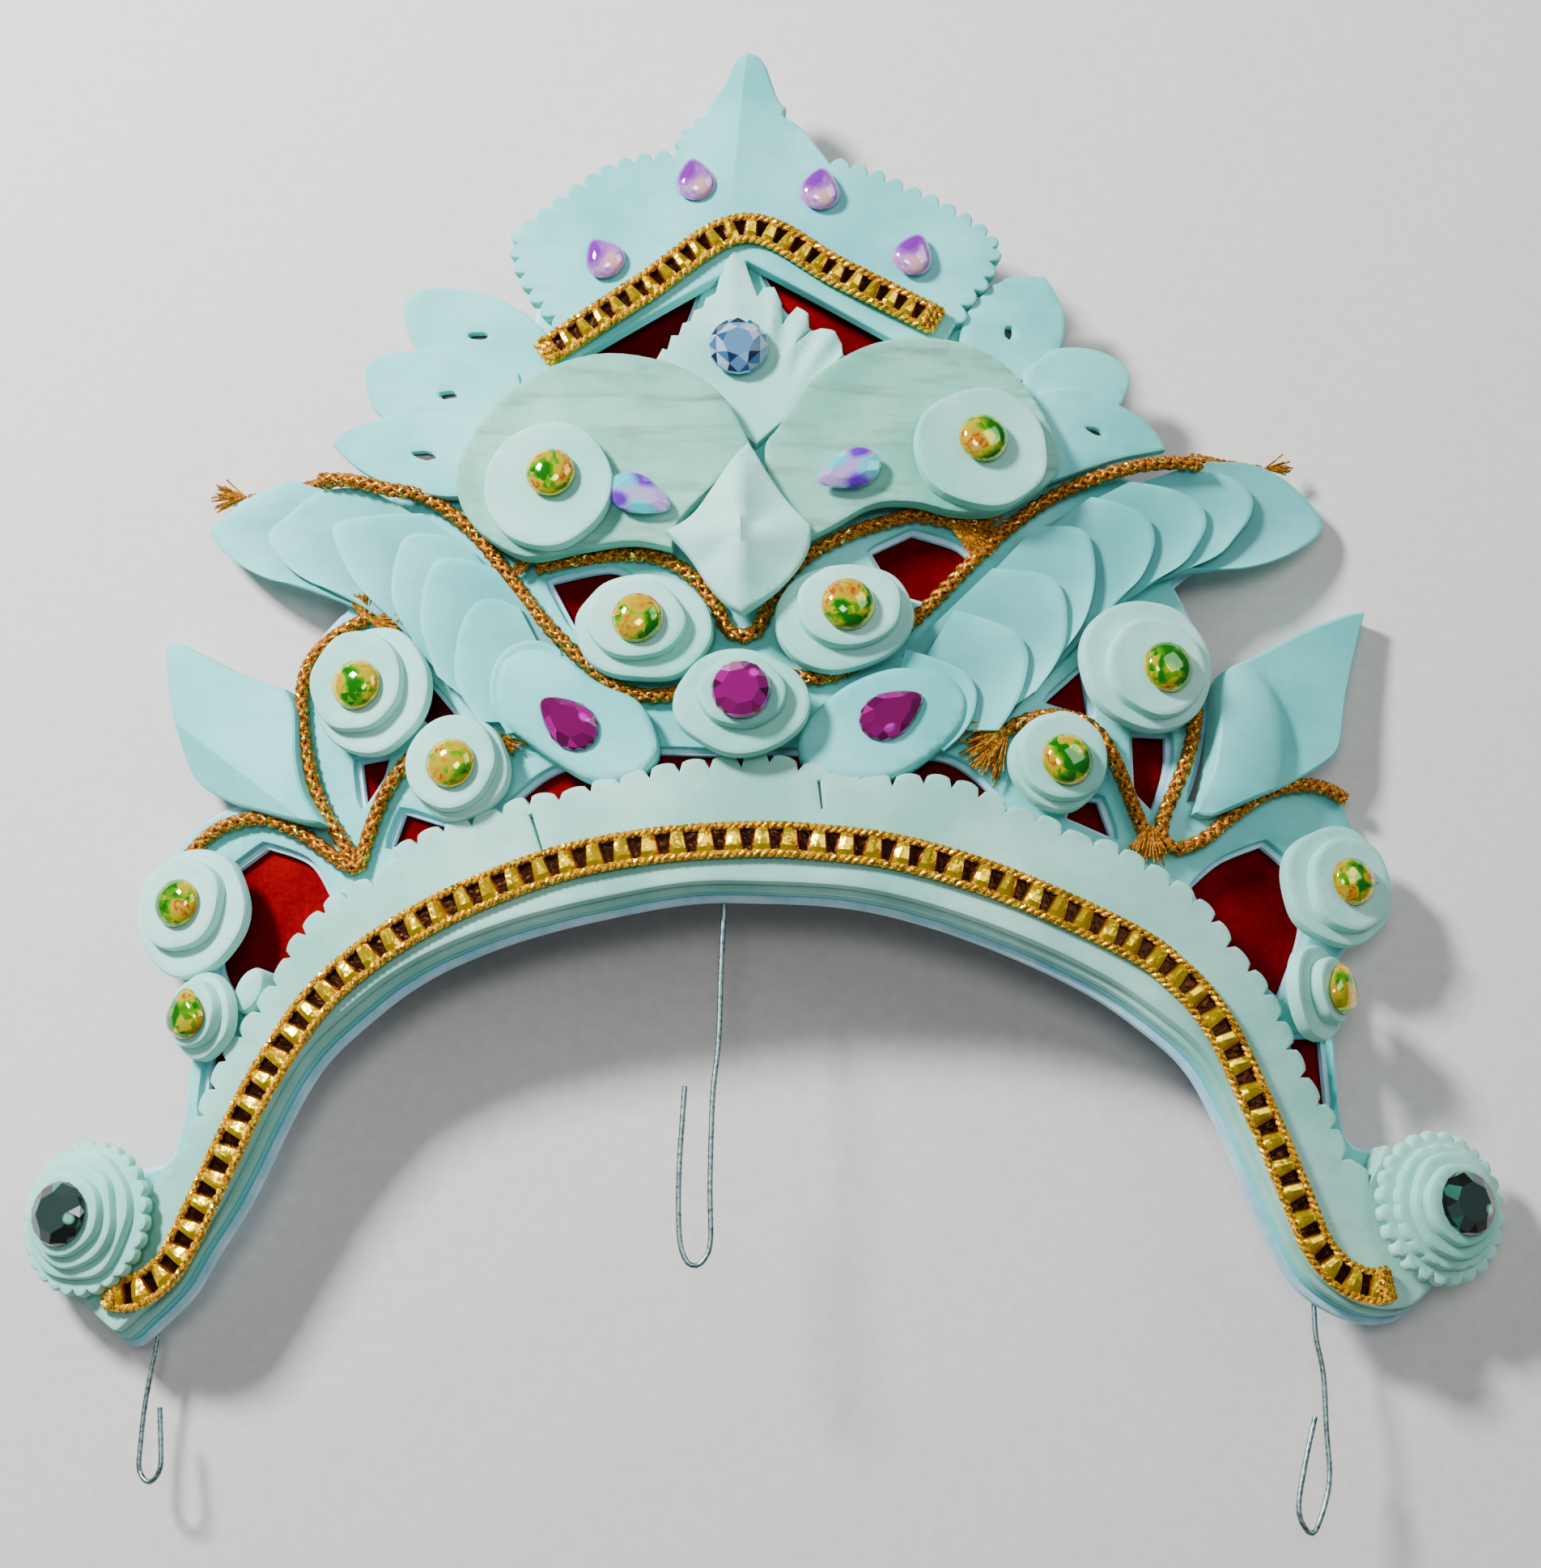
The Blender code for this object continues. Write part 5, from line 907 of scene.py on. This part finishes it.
def make_band():
    """The laminated forehead band: two sheets of pith with a dark line between, and lobes along the top."""
    rows = LEFT_FOOT[1::-1] + ARCH + RIGHT_FOOT[:2]
    arch = beside(smooth_line(place(rows), 1.2 * MM), BAND_INSET)
    top = lobed(smooth_line(place(BAND_TOP), 1.0 * MM), pitch=5.0 * MM, depth=1.9 * MM, fullness=0.27)
    left = [point + Vector((BAND_INSET, 0, 0)) for point in place(LEFT_FOOT)[2:]]
    right = [point - Vector((BAND_INSET, 0, 0)) for point in place(RIGHT_FOOT)[2:]]
    middle = SEAT + 1.5 * MM
    lower = slab([left + top + right[::-1] + arch[::-1]], SEAT, middle, edge=0.3 * MM, cell=3 * MM)
    inner = beside(arch, 0.9 * MM)
    slits = []
    for ends in BAND_SLITS:
        first, last = spots(ends, SEAT + BAND_THICK)
        along = (last - first).normalized()
        side = Vector((-along.y, along.x, 0)) * 0.22 * MM
        slits.append([first - side, first + side, last + side * 0.5, last - side * 0.5])
    upper = slab([left + top + right[::-1] + inner[::-1]] + slits, middle + 0.15 * MM,
                 SEAT + BAND_THICK, 0.5 * MM, 2.5 * MM, ripple(1.0, 0.25 * MM, 14 * MM))
    add_piece("forehead_band_pith", [bend(lower), bend(upper)], PITH_BAND, ["forehead_band"])


def make_crest():
    """The crest: scalloped shoulders, a plain ogee tip and a fold from tip to trim."""
    level = CREST_SEAT - GAP
    left = lobed(smooth_line(spots(CREST_LEFT, level), 1 * MM), pitch=3.5 * MM, depth=1.7 * MM, fullness=0.6)
    tip = smooth_line(spots(CREST_TIP, level), 0.6 * MM)
    right = lobed(smooth_line(spots(CREST_RIGHT, level), 1 * MM), pitch=3.3 * MM, depth=1.7 * MM,
                  fullness=0.6)
    low = spots(CREST_LOW, level)
    high, under = spots(CREST_FOLD, level)

    def fold(u, v):
        away = abs(u - under.x - (high.x - under.x) * (v - under.y) / (high.y - under.y))
        rib = 1.9 * MM * max(0.0, 1 - away / (10 * MM)) * min(1.0, max(0.0, (v - under.y) / (12 * MM)))
        hollow = -0.6 * MM * math.exp(-((away - 28 * MM) / (13 * MM)) ** 2)
        return rib + hollow + 0.25 * MM * noise.noise(Vector((u * 60, v * 60, 2)))

    work = slab([left + tip + right + low], SEAT, level, 0.45 * MM, 1.6 * MM, fold, (under, high))
    add_piece("crest_pith", [bend(work)], PITH, ["crest"], 9)


def pleated(line, width, bottom, pitch, height):
    """Foil folded into bars across a strip, open between them."""
    steps = round(length_of(line) / pitch) * BAR_STEPS
    fine = even(line, steps)
    work = bmesh.new()
    bmesh.ops.create_grid(work, x_segments=steps, y_segments=4, size=0.5)
    pleat = work.verts.layers.float.new("pleat")
    for vertex in work.verts:
        along = round((vertex.co.x + 0.5) * steps)
        across = vertex.co.y * width
        phase = along % BAR_STEPS
        lean = 0.15 * math.sin(2.4 * (along // BAR_STEPS))
        rise = (0, 0, 0.8 + lean, 0.9 + lean / 2, 1, 0.9 - lean / 2, 0.8 - lean, 0.7 - lean, 0, 0)[phase]
        run = (fine[min(along + 1, steps)] - fine[max(along - 1, 0)]).normalized()
        fan = 0.55 * MM * (1 if phase < 5 else -1) * vertex.co.y * (1 if 1 <= phase <= 8 else 0)
        here = fine[along] + Vector((-run.y, run.x, 0)) * across + run * fan
        crown = 1 - abs(vertex.co.y * 2) ** 8 * 0.4
        vertex.co = Vector((here.x, here.y, bottom + 0.25 * MM + height * rise * crown))
        # the rise sets the foil's colour: painted shade low in the folds, painted highlight on the bar tops
        vertex[pleat] = rise
    made = bmesh.ops.extrude_face_region(work, geom=work.faces[:], use_keep_orig=True)
    for item in made["geom"]:
        if isinstance(item, bmesh.types.BMVert):
            item.co.z = bottom
    return bend(work)


def strand_frames(line):
    """Each point of a route with its sideways and upward directions, in the crown's frame."""
    frames = []
    for number, point in enumerate(line):
        along = (line[min(number + 1, len(line) - 1)] - line[max(number - 1, 0)]).normalized()
        up = Vector((math.sin(point.x / BEND_RADIUS), 0, math.cos(point.x / BEND_RADIUS)))
        side = along.cross(up).normalized()
        frames.append((bent(*point), side, side.cross(along).normalized()))
    return frames


def twisted(line, reach, pitch, step, strands=2, phase=0.0):
    """Routes of strands twisted round a line."""
    fine = even(line, max(4, round(length_of(line) / step)))
    length = length_of(line)
    frames = strand_frames(fine)
    routes = []
    for strand in range(strands):
        route = []
        for number, (middle, side, up) in enumerate(frames):
            turn = 2 * math.pi * (length * number / len(frames) / pitch + strand / strands) + phase
            route.append(middle + side * (reach * math.cos(turn)) + up * (reach * math.sin(turn)))
        routes.append(route)
    return routes


def braided(line, radius, pitch, step):
    """Routes of three strands each way that pass over and under each other round a line."""
    fine = even(line, max(4, round(length_of(line) / step)))
    length = length_of(line)
    frames = strand_frames(fine)
    routes = []
    for way in (1, -1):
        for strand in range(3):
            route = []
            for number, (middle, side, up) in enumerate(frames):
                run = length * number / len(frames) / pitch
                turn = way * (2 * math.pi * (run + strand / 3))
                reach = radius * (0.62 + 0.14 * way * math.cos(6 * math.pi * run))
                route.append(middle + side * (reach * math.cos(turn)) + up * (reach * math.sin(turn)))
            routes.append(route)
    return routes


def make_trims():
    """Gold trims: folded foil bars between two twisted cords, on a brown ground with painted shade in the
    gaps.
    """
    for name, rows, width, back, pitch in (("band_trim", BAND_TRIM, 5.6 * MM, BAND_SEAT, 4.4 * MM),
                                           ("crest_trim", CREST_TRIM, 5.0 * MM, CREST_SEAT, 3.4 * MM)):
        line = smooth_line(place(rows), 1 * MM)
        foil = pleated(line, width * 0.74, back, pitch, 1.5 * MM)
        routes = []
        for side in (-1, 1):
            edge = beside(line, side * width * 0.42)
            edge = [Vector((point.x, point.y, back + 0.8 * MM)) for point in edge]
            routes += twisted(edge, EDGE_REACH, EDGE_PITCH, EDGE_STEP, 2, side)
        for end, inside in ((line[0], line[2]), (line[-1], line[-3])):
            for step in (0, 1, 2):
                across = (inside - end).normalized() * (step * 0.9 * MM)
                middle = end + across + Vector((0, 0, back + (0.8 + 0.5 * step) * MM))
                run = across if step else end - inside
                side = Vector((-run.y, run.x, 0))
                half = side.normalized() * width * 0.44
                bar = [middle - half, middle + half]
                routes += twisted(bar, EDGE_REACH, EDGE_PITCH, EDGE_STEP, 2, step)
        add_piece(f"{name}_gilt", [foil, tubes(routes, 0.42 * MM, 1)], [FOIL, EDGE_CORD], [name],
                  25)


def ellipse(middle, half_u, half_v, turn=0, step=1 * MM, wander=0.0, seed=0):
    """A hand-cut round: an ellipse whose edge wanders a little."""
    count = max(16, round(math.pi * (half_u + half_v) / step))
    spin = Matrix.Rotation(math.radians(turn), 3, "Z")
    made = []
    for number in range(count):
        angle = 2 * math.pi * number / count
        across, up = math.cos(angle), math.sin(angle)
        reach = 1 + wander * noise.noise(Vector((across * 1.5, up * 1.5, seed * 7.3 + 0.5)))
        made.append(middle + spin @ Vector((half_u * reach * across, half_v * reach * up, 0)))
    return made


def make_leaves():
    """Three leaves on each side, laid over each other, with slits over dark sheets of painted shade and some
    dirt, and the serrated fan leaf.
    """
    for side, rows in LEAVES.items():
        works = []
        shades = []
        for number, (edge, slit, half, turn) in enumerate(rows):
            bottom = SEAT + LEAF_STEP * number
            top = bottom + LEAF_SHEET
            loops = [outline(spots(edge, top), 1.0 * MM)]
            if slit:
                middle = spot(*slit, top)
                hole = ellipse(middle, half[0] / LEAF_PIXELS * MM, half[1] / LEAF_PIXELS * MM, -turn,
                               0.5 * MM, 0.4, number + 4)
                loops.append(hole)
                # a dark sheet of painted shade, with some dirt, under the slit
                shades.append(bend(slab([grown(hole, 0.3 * MM)], bottom + 0.2 * MM, bottom + 0.7 * MM,
                                        0.1 * MM)))
            works.append(bend(slab(loops, bottom, top, 0.5 * MM, 2.2 * MM,
                                   ripple(number + 3.1, 0.5 * MM, 11 * MM))))
        add_piece(f"leaves_{side}_pith", works + shades, [PITH, PITH, PITH, SLIT_SHADE], [f"leaves_{side}"])
    fold = spot(905, 309, UPPER_SEAT)
    root = spot(934, 547, UPPER_SEAT)

    def ridge(u, v):
        tall = min(1.0, max(0.0, (v - fold.y + 26 * MM) / (20 * MM)))
        spear = math.exp(-abs(u - fold.x) / (2.2 * MM)) * tall
        away = Vector((u - root.x, v - root.y, 0))
        angle = math.degrees(math.atan2(away.x, away.y))
        reach = min(1.0, max(0.0, (away.length - 12 * MM) / (10 * MM)))
        beyond = min(1.0, max(0.0, (angle - 3) / 3))
        flutes = math.cos(math.radians((angle - 7) * 360 / 12.5)) * beyond * reach
        return MM * (0.9 * spear + 0.55 * flutes)

    edge = []
    points = spots(FAN, UPPER_SEAT - GAP)
    for before, after in zip(points, points[1:] + points[:1]):
        edge += even([before, after], max(1, round((after - before).length / (1.2 * MM))))[:-1]
    fan = slab([edge], SEAT, UPPER_SEAT - GAP - 0.6 * MM, 0.3 * MM, 0.9 * MM, ridge)
    add_piece("fan_leaf_pith", [bend(fan)], PITH_WHITE, ["fan_leaf"])


def make_big_petals():
    """Cupped petals with a raised rim and a loose disc on each."""
    for side, rows in BIG_PETALS.items():
        level = PETAL_TOP - 0.6 * MM
        edge = outline(spots(rows, level), 1.2 * MM)
        middle = sum(edge, Vector()) / len(edge)

        def cup(u, v, edge=edge, middle=middle):
            here = Vector((u, v, 0))
            near = min((here - point).length for point in edge[::2])
            rim = math.exp(-(near / (2.4 * MM)) ** 2)
            outer = max(0.0, min(1.0, abs(u) / (45 * MM)))
            return rim * 0.9 * MM * outer + 0.35 * MM * noise.noise(Vector((u * 40, v * 90, 5))) - 0.4 * MM

        (px, py), (wide, tall) = DISCS[side]
        disc_middle = spot(px, py, PETAL_TOP + 2.0 * MM)
        disc = ellipse(disc_middle, wide / DISC_PIXELS[0] * MM, tall / DISC_PIXELS[1] * MM, 0, 1 * MM, 0.05,
                       3 if side == "left" else 8)
        bowl = slab([edge], UPPER_SEAT, level, 0.5 * MM, 2.0 * MM, cup)

        def dish(u, v, middle=disc_middle):
            away = (Vector((u, v, 0)) - middle).length / (10.5 * MM)
            return 0.35 * MM * (min(away, 1.0) ** 3 - 1)

        plate = slab([disc], PETAL_TOP - 0.4 * MM, PETAL_TOP + 2.3 * MM, 0.5 * MM, 2.2 * MM, dish)
        add_piece(f"petal_{side}_pith", [bend(bowl), bend(plate)], [PITH_WARM, PITH_WHITE], [f"petal_{side}"])


def make_kites():
    """The pinched kite in the middle and the curled ones at the sides."""
    bottom = PETAL_TOP + GAP
    edge = outline(spots(KITE, bottom + 1.0 * MM), 1.2 * MM, 40)
    middle = spot(912, 650, bottom + 4 * MM)

    def pinch(u, v):
        du, dv = (u - middle.x) / (13 * MM), (v - middle.y) / (17 * MM)
        ridge = math.exp(-(abs(du) / 0.30) ** 1.3) * max(0.0, 1 - abs(dv)) ** 0.6
        arm = math.exp(-(abs(dv + 0.05) / 0.26) ** 1.5) * max(0.0, 1 - abs(du)) ** 0.8
        crumple = noise.noise(Vector((u * 110, v * 110, 4)))
        return MM * (4.8 * max(ridge, arm * 0.8) + 0.5 * crumple)

    work = slab([edge], bottom, bottom + 1.0 * MM, 0.4 * MM, 1.2 * MM, pinch)
    add_piece("centre_kite_pith", [bend(work)], PITH_WHITE, ["centre_kite"], 50)
    for side, (rows, fold) in SIDE_KITES.items():
        edge = outline(spots(rows, SEAT + 2.5 * MM), 1.5 * MM, 40)
        first, last = spots(fold, SEAT + 4 * MM)
        along = (last - first).normalized()

        def curl(u, v, side=side, first=first, along=along):
            above = along.x * (v - first.y) - along.y * (u - first.x)
            if side == "left":
                return 3.4 * MM * (max(0.0, 1 + above / (7 * MM)) if above < 0 else 1 - above / (30 * MM))
            lobe = Vector(((u - first.x) / (8.6 * MM), (v - first.y) / (13.5 * MM), 0)).length
            inside = 1 / (1 + math.exp((lobe - 1) * 16))
            away_u, away_v = (u - first.x) / (20 * MM), (v - first.y) / (20 * MM)
            outside = 0.2 + 2.2 * max(0.0, away_u) + 0.8 * max(0.0, away_v)
            return MM * (inside * (4.0 - 1.1 * lobe * lobe) + (1 - inside) * outside)

        work = slab([edge], SEAT, SEAT + 2.0 * MM, 0.5 * MM, 1.6 * MM, curl, (first, last))
        add_piece(f"side_kite_{side}_pith", [bend(work)], PITH, [f"side_kite_{side}"], 20)


def wing_petal(free, root, low, high, thick):
    """One thin petal of a wing: high and rounded at its free edge, diving under the next."""
    wide, deep = 28, 10
    work = bmesh.new()
    bmesh.ops.create_grid(work, x_segments=wide, y_segments=deep, size=0.5)
    edge, inner = even(free, wide), even(root, wide)
    # how far each point lies towards the root; the pith material paints shade from it
    dive = work.verts.layers.float.new("dive")
    for vertex in work.verts:
        a = round((vertex.co.x + 0.5) * wide)
        b = round((vertex.co.y + 0.5) * deep)
        share = WING_DEPTHS[b]
        here = edge[a].lerp(inner[a], share)
        side = abs(a / wide * 2 - 1)
        rise = high + (low - high) * share ** 0.9 - WING_DROPS[b] * thick * 0.8 - 0.5 * MM * side ** 3
        rise += 0.25 * MM * noise.noise(Vector((here.x * 120, here.y * 120, high * 3000)))
        vertex.co = Vector((here.x, here.y, rise))
        vertex[dive] = share
    made = bmesh.ops.extrude_face_region(work, geom=work.faces[:], use_keep_orig=True)
    for item in made["geom"]:
        if isinstance(item, bmesh.types.BMVert):
            item.co.z -= thick
    return bend(work)


def make_wings():
    """Wings of overlapping petals; the innermost one is round and carries a stone."""
    for side, edges in WING_EDGES.items():
        high = SEAT + WING_RISE
        lines = [smooth_line(spots(row, high), 0.8 * MM) for row in edges]
        end = outline(spots(WING_ENDS[side], high), 1.2 * MM)
        middle = sum(end, Vector()) / len(end)
        works = []
        for number, line in enumerate(lines):
            if number + 2 < len(lines):
                root = lines[number + 2]
            else:
                root = [point.lerp(middle, 0.75) for point in line]
            works.append(wing_petal(line, root, SEAT + WING_SHEET, high, WING_SHEET))

        def dome(u, v, middle=middle):
            away = (Vector((u, v, 0)) - middle).length / (14 * MM)
            uneven = noise.noise(Vector((u * 80, v * 80, 6)))
            return 0.25 * MM * (1 - min(away, 1.0) ** 2) + 0.2 * MM * uneven

        works.append(bend(slab([end], SEAT, SEAT + 4.0 * MM, 1.0 * MM, 2.2 * MM, dome)))
        add_piece(f"wing_{side}_pith", works, PITH, [f"wing_{side}"], 50)


def tier(middle, half_u, half_v, turn, bottom, thick, seed, teeth=0, depth=0.0):
    """One round of a rosette, in the rosette's own frame."""
    if teeth:
        edge = []
        for number in range(teeth * LOBE_STEPS):
            angle = 2 * math.pi * number / (teeth * LOBE_STEPS)
            wave = abs(math.sin(math.pi * number / LOBE_STEPS)) ** 0.6
            reach = 1 - depth * (1 - wave) * (1 + 0.4 * noise.noise(Vector((number * 0.3, seed, 0))))
            u, v = half_u * reach * math.cos(angle), half_v * reach * math.sin(angle)
            edge.append(middle + Vector((u, v, 0)))
    else:
        edge = ellipse(middle, half_u, half_v, turn, 0.9 * MM, 0.07, seed)

    def dish(u, v):
        return 0.12 * MM * noise.noise(Vector((u * 200, v * 200, seed * 3.7)))

    return slab([edge], bottom, bottom + thick, 0.75 * MM, 2.2 * MM, dish)


def gem(half_width, half_length, rings, back=0.8):
    """A cut stone: the hull of rings of points (share of the width, height, number, half step)."""
    work = bmesh.new()
    pointed = half_length > half_width * 1.1
    deepest = max(height for _, height, _, _ in rings)
    for share, height, count, half in [(back, 0.0, rings[0][2], 0)] + rings:
        for number in range(count):
            turn = 2 * math.pi * (number + half * 0.5) / count
            u, v = half_width * math.sin(turn), half_length * math.cos(turn)
            if pointed:
                u *= 1 - 0.4 * math.cos(turn) if math.cos(turn) > 0 else 1 + 0.12 * abs(math.sin(2 * turn))
            work.verts.new((u * share, v * share, height))
    bmesh.ops.convex_hull(work, input=work.verts[:])
    bmesh.ops.dissolve_limit(work, angle_limit=math.radians(2), verts=work.verts[:], edges=work.edges[:])
    cut = work.verts.layers.float_vector.new("cut")
    facet = work.faces.layers.float.new("facet")
    for vertex in work.verts:
        vertex[cut] = Vector((vertex.co.x / half_width, vertex.co.y / half_length, vertex.co.z / deepest))
    for number, face in enumerate(work.faces):
        face[facet] = (math.sin(number * 12.9898 + half_width * 91000) * 43758.5453) % 1.0
    return work


def round_cut(height):
    """Rings of a brilliant-cut round stone."""
    return [(1.0, height * 0.28, 16, 0), (0.97, height * 0.42, 16, 0), (0.78, height * 0.74, 8, 1),
            (0.5, height, 8, 0)]


def domed_cut(height):
    """Rings of a domed stone."""
    return [(1.0, height * 0.25, 24, 0), (0.94, height * 0.5, 24, 1), (0.8, height * 0.74, 16, 0),
            (0.56, height * 0.92, 12, 1), (0.26, height, 6, 0)]


def table_cut(height):
    """Rings of a stone with a flat table."""
    return [(1.0, height * 0.35, 16, 0), (0.93, height * 0.6, 16, 1), (0.62, height, 8, 0)]


def add_stone(name, half_width, half_length, rings, matrix, glass):
    """One cut stone in its place; the lilac and rainbow ones are smooth domes."""
    add_piece(f"{name}_glass", [seat(gem(half_width, half_length, rings), matrix)], glass, [name],
              60, glass in (LILAC, RAINBOW))


def make_rosettes_and_stones():
    """All rosettes with their stones, and the stones glued straight to the pith."""
    for number, (name, u, v, seat_level, tiers, stone, (du_stone, dv_stone)) in enumerate(ROSETTES):
        matrix = seat_matrix(u * HALF_WIDTH, v * MID_HEIGHT, seat_level)
        works = [seat(slab([ellipse(Vector(), 0.45 * tiers[0][2] * MM, 0.45 * tiers[0][2] * MM)],
                           SEAT - seat_level, 0.0, 0.1 * MM, 5 * MM), matrix)]
        for step, (du, dv, half_u, half_v, turn) in enumerate(tiers):
            middle = Vector((du * MM, dv * MM, 0))
            works.append(seat(tier(middle, half_u * MM, half_v * MM, turn, step * TIER_THICK,
                                   TIER_THICK - 0.05 * MM,
                                   number + step * 0.5), matrix))
        add_piece(f"{name}_pith", works, PITH_WHITE, [name])
        glass = MAGENTA if name == "centre_stack" else RAINBOW
        cut = table_cut if name == "centre_stack" else domed_cut
        put = (matrix @ Matrix.Translation((du_stone * MM, dv_stone * MM, TIER_THICK * 2 + 0.1 * MM))
               @ Matrix.Rotation(number * 0.7, 4, "Z"))
        add_stone(name.replace("stack", "stone"), stone * MM, stone * MM, cut(stone * MM * 0.62), put, glass)
    for number, (name, u, v, degrees, (du, dv, half_u, half_v)) in enumerate(SMALL_ROSETTES):
        tip = math.radians(degrees)
        level = SEAT + SMALL_FOOT_RADIUS * math.sin(tip) + TIER_THICK * math.cos(tip) + GAP
        matrix = seat_matrix(u * HALF_WIDTH, v * MID_HEIGHT, level, tip)
        low_middle = Vector((du * MM, dv * MM, 0))
        works = [seat(slab([ellipse(Vector(), 2.9 * MM, 2.9 * MM)], -2.4 * MM, 0.0, 0.1 * MM, 5 * MM),
                      matrix),
                 seat(tier(low_middle, half_u * MM, half_v * MM, 0, 0, 2.35 * MM, 21 + number), matrix),
                 seat(tier(Vector(), 5.2 * MM, 5.6 * MM, 0, 2.4 * MM, 2.35 * MM, 25 + number), matrix)]
        if name == "small_stack_left":
            lobe_top = SEAT + 3.4 * MM
            lobe = ellipse(spot(*SMALL_LOBE, lobe_top), 2.5 * MM, 4.0 * MM, -25, 0.7 * MM)
            works.append(bend(slab([lobe], FRAME_BACK, lobe_top, 1.2 * MM, 2.5 * MM)))
        add_piece(f"{name}_pith", works, PITH_WHITE, [name])
        put = matrix @ Matrix.Translation((0, 0, 4.85 * MM))
        add_stone(name.replace("stack", "stone"), 3.9 * MM, 4.3 * MM, domed_cut(2.6 * MM), put, RAINBOW)
    for number, (name, u, v) in enumerate(END_ROSETTES):
        matrix = seat_matrix(u * HALF_WIDTH, v * MID_HEIGHT, END_SEAT)
        works = [seat(slab([ellipse(Vector(), 5.6 * MM, 5.6 * MM)], BAND_SEAT - END_SEAT, 0.0, 0.1 * MM,
                           5 * MM), matrix)]
        rounds = ((12.9, 26 - 2 * number, 0.07 + 0.02 * number), (10.5, 20 * number, 0.03),
                  (8.7, 0, 0), (6.9, 0, 0))
        for step, (radius, teeth, depth) in enumerate(rounds):
            works.append(seat(tier(Vector(), radius * MM, radius * MM, 0, step * 1.8 * MM, 1.75 * MM,
                                   31 + number * 5 + step, teeth, depth), matrix))
        add_piece(f"{name}_pith", works, PITH_WHITE, [name])
        put = matrix @ Matrix.Translation((0, 0, 7.25 * MM))
        add_stone(name.replace("rosette", "stone"), 5.4 * MM, 5.4 * MM, table_cut(2.4 * MM), put, SMOKE)
    for name, u, v, level, wide, long, turn, glass in SET_STONES:
        matrix = seat_matrix(u * HALF_WIDTH, v * MID_HEIGHT, level, spin=math.radians(turn))
        cut = domed_cut if glass in (LILAC, RAINBOW) else round_cut if glass is CLEAR else table_cut
        add_stone(name, wide * MM, long * MM, cut(wide * MM * 0.55), matrix, glass)


def pixel_cord(rows, level):
    """A cord's middle line from pixels of the photograph, at one height."""
    return smooth_line([Vector((*spot(px, py, level).xy, level)) for px, py in rows], 0.5 * MM)


def cord_line(rows):
    """A cord's middle line from table rows, lifted where it lies over a leaf."""
    points = [Vector((u * HALF_WIDTH, v * MID_HEIGHT, SEAT + CORD_RADIUS + lift * LEAF_THICK))
              for u, v, lift in rows]
    return smooth_line(points, 0.5 * MM)


def frayed(start, towards, count, level, seed):
    """Loose threads that fan out from a cord's end."""
    origin = spot(*start, level)
    aim = spot(*towards, level) - origin
    routes = []
    for number in range(count):
        shake = [noise.noise(Vector((number * 1.7, seed * 3.3, axis * 5.1))) for axis in range(4)]
        length = 0.75 + 0.5 * (shake[0] + 0.5)
        side = Vector((-aim.y, aim.x, 0))
        route = []
        for part in range(5):
            t = part / 4
            here = origin + aim * (t * length) + side * (shake[1] * 0.9 * t + shake[3] * 0.25 * t * t)
            route.append(bent(here.x, here.y, level + shake[2] * 1.5 * MM * t + shake[3] * 0.4 * MM))
        routes.append(route)
    return routes


def make_cords_and_hooks():
    """Braided cords with frayed ends, and the wire hooks."""
    cords = {"v_cord": [cord_line(V_CORD)],
             "wing_cord": [cord_line(WING_CORD)]
                          + [pixel_cord(tail, SEAT + 1.3 * MM) for tail in CORD_TAILS],
             "side_cord_left": [pixel_cord(rows, SEAT + 1.2 * MM) for rows in SIDE_CORDS["left"]],
             "side_cord_right": [pixel_cord(rows, SEAT + 1.2 * MM) for rows in SIDE_CORDS["right"]]}
    for name, lines in cords.items():
        strands = []
        for line in lines:
            strands += braided(line, BRAID_REACH, BRAID_PITCH, BRAID_STEP)
        threads = []
        for number, (start, towards, count, level) in enumerate(FRAYS[name]):
            threads += frayed(start, towards, count, level * MM, number + len(name))
        add_piece(f"{name}_braid", [tubes(strands, STRAND_RADIUS, 1), tubes(threads, THREAD_RADIUS, 0)],
                  [AMBER_CORD, FRAYED],
                  [name], 60)
    for name, rows in HOOKS.items():
        middle = FRAME_BACK - GAP - WIRE_RADIUS
        line = smooth_line([Vector((u * HALF_WIDTH, v * MID_HEIGHT, middle)) for u, v in rows], 0.8 * MM)
        add_piece(f"hook_{name}_wire", [tubes([[bent(*point) for point in line]], WIRE_RADIUS, 4)], WIRE,
                  [f"hook_{name}"], 60)


def make_floor():
    """The plain table under the crown."""
    work = bmesh.new()
    bmesh.ops.create_grid(work, x_segments=1, y_segments=1, size=3)
    mesh = bpy.data.meshes.new("floor")
    work.to_mesh(mesh)
    work.free()
    mesh.materials.append(plain_floor())
    floor = bpy.data.objects.new("floor", mesh)
    bpy.context.scene.collection.objects.link(floor)


def make_lights():
    """A soft key from the upper left, a fill from the right and one from above."""
    for name, place_now, size, power in LIGHTS:
        data = bpy.data.lights.new(name, "AREA")
        data.size = size
        data.energy = power
        light = bpy.data.objects.new(name, data)
        light.location = place_now
        light.rotation_euler = (-Vector(place_now)).to_track_quat("-Z", "Y").to_euler()
        bpy.context.scene.collection.objects.link(light)
    world = bpy.data.worlds.new("studio")
    world.use_nodes = True
    world.node_tree.nodes["Background"].inputs["Color"].default_value = colour("#F2F4F6")
    world.node_tree.nodes["Background"].inputs["Strength"].default_value = 0.14
    bpy.context.scene.world = world


make_frame()
make_band()
make_crest()
make_trims()
make_leaves()
make_big_petals()
make_kites()
make_wings()
make_rosettes_and_stones()
make_cords_and_hooks()
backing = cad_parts["backing_sheet"]
backing.material_slots[0].material = CRIMSON
make_floor()
make_lights()
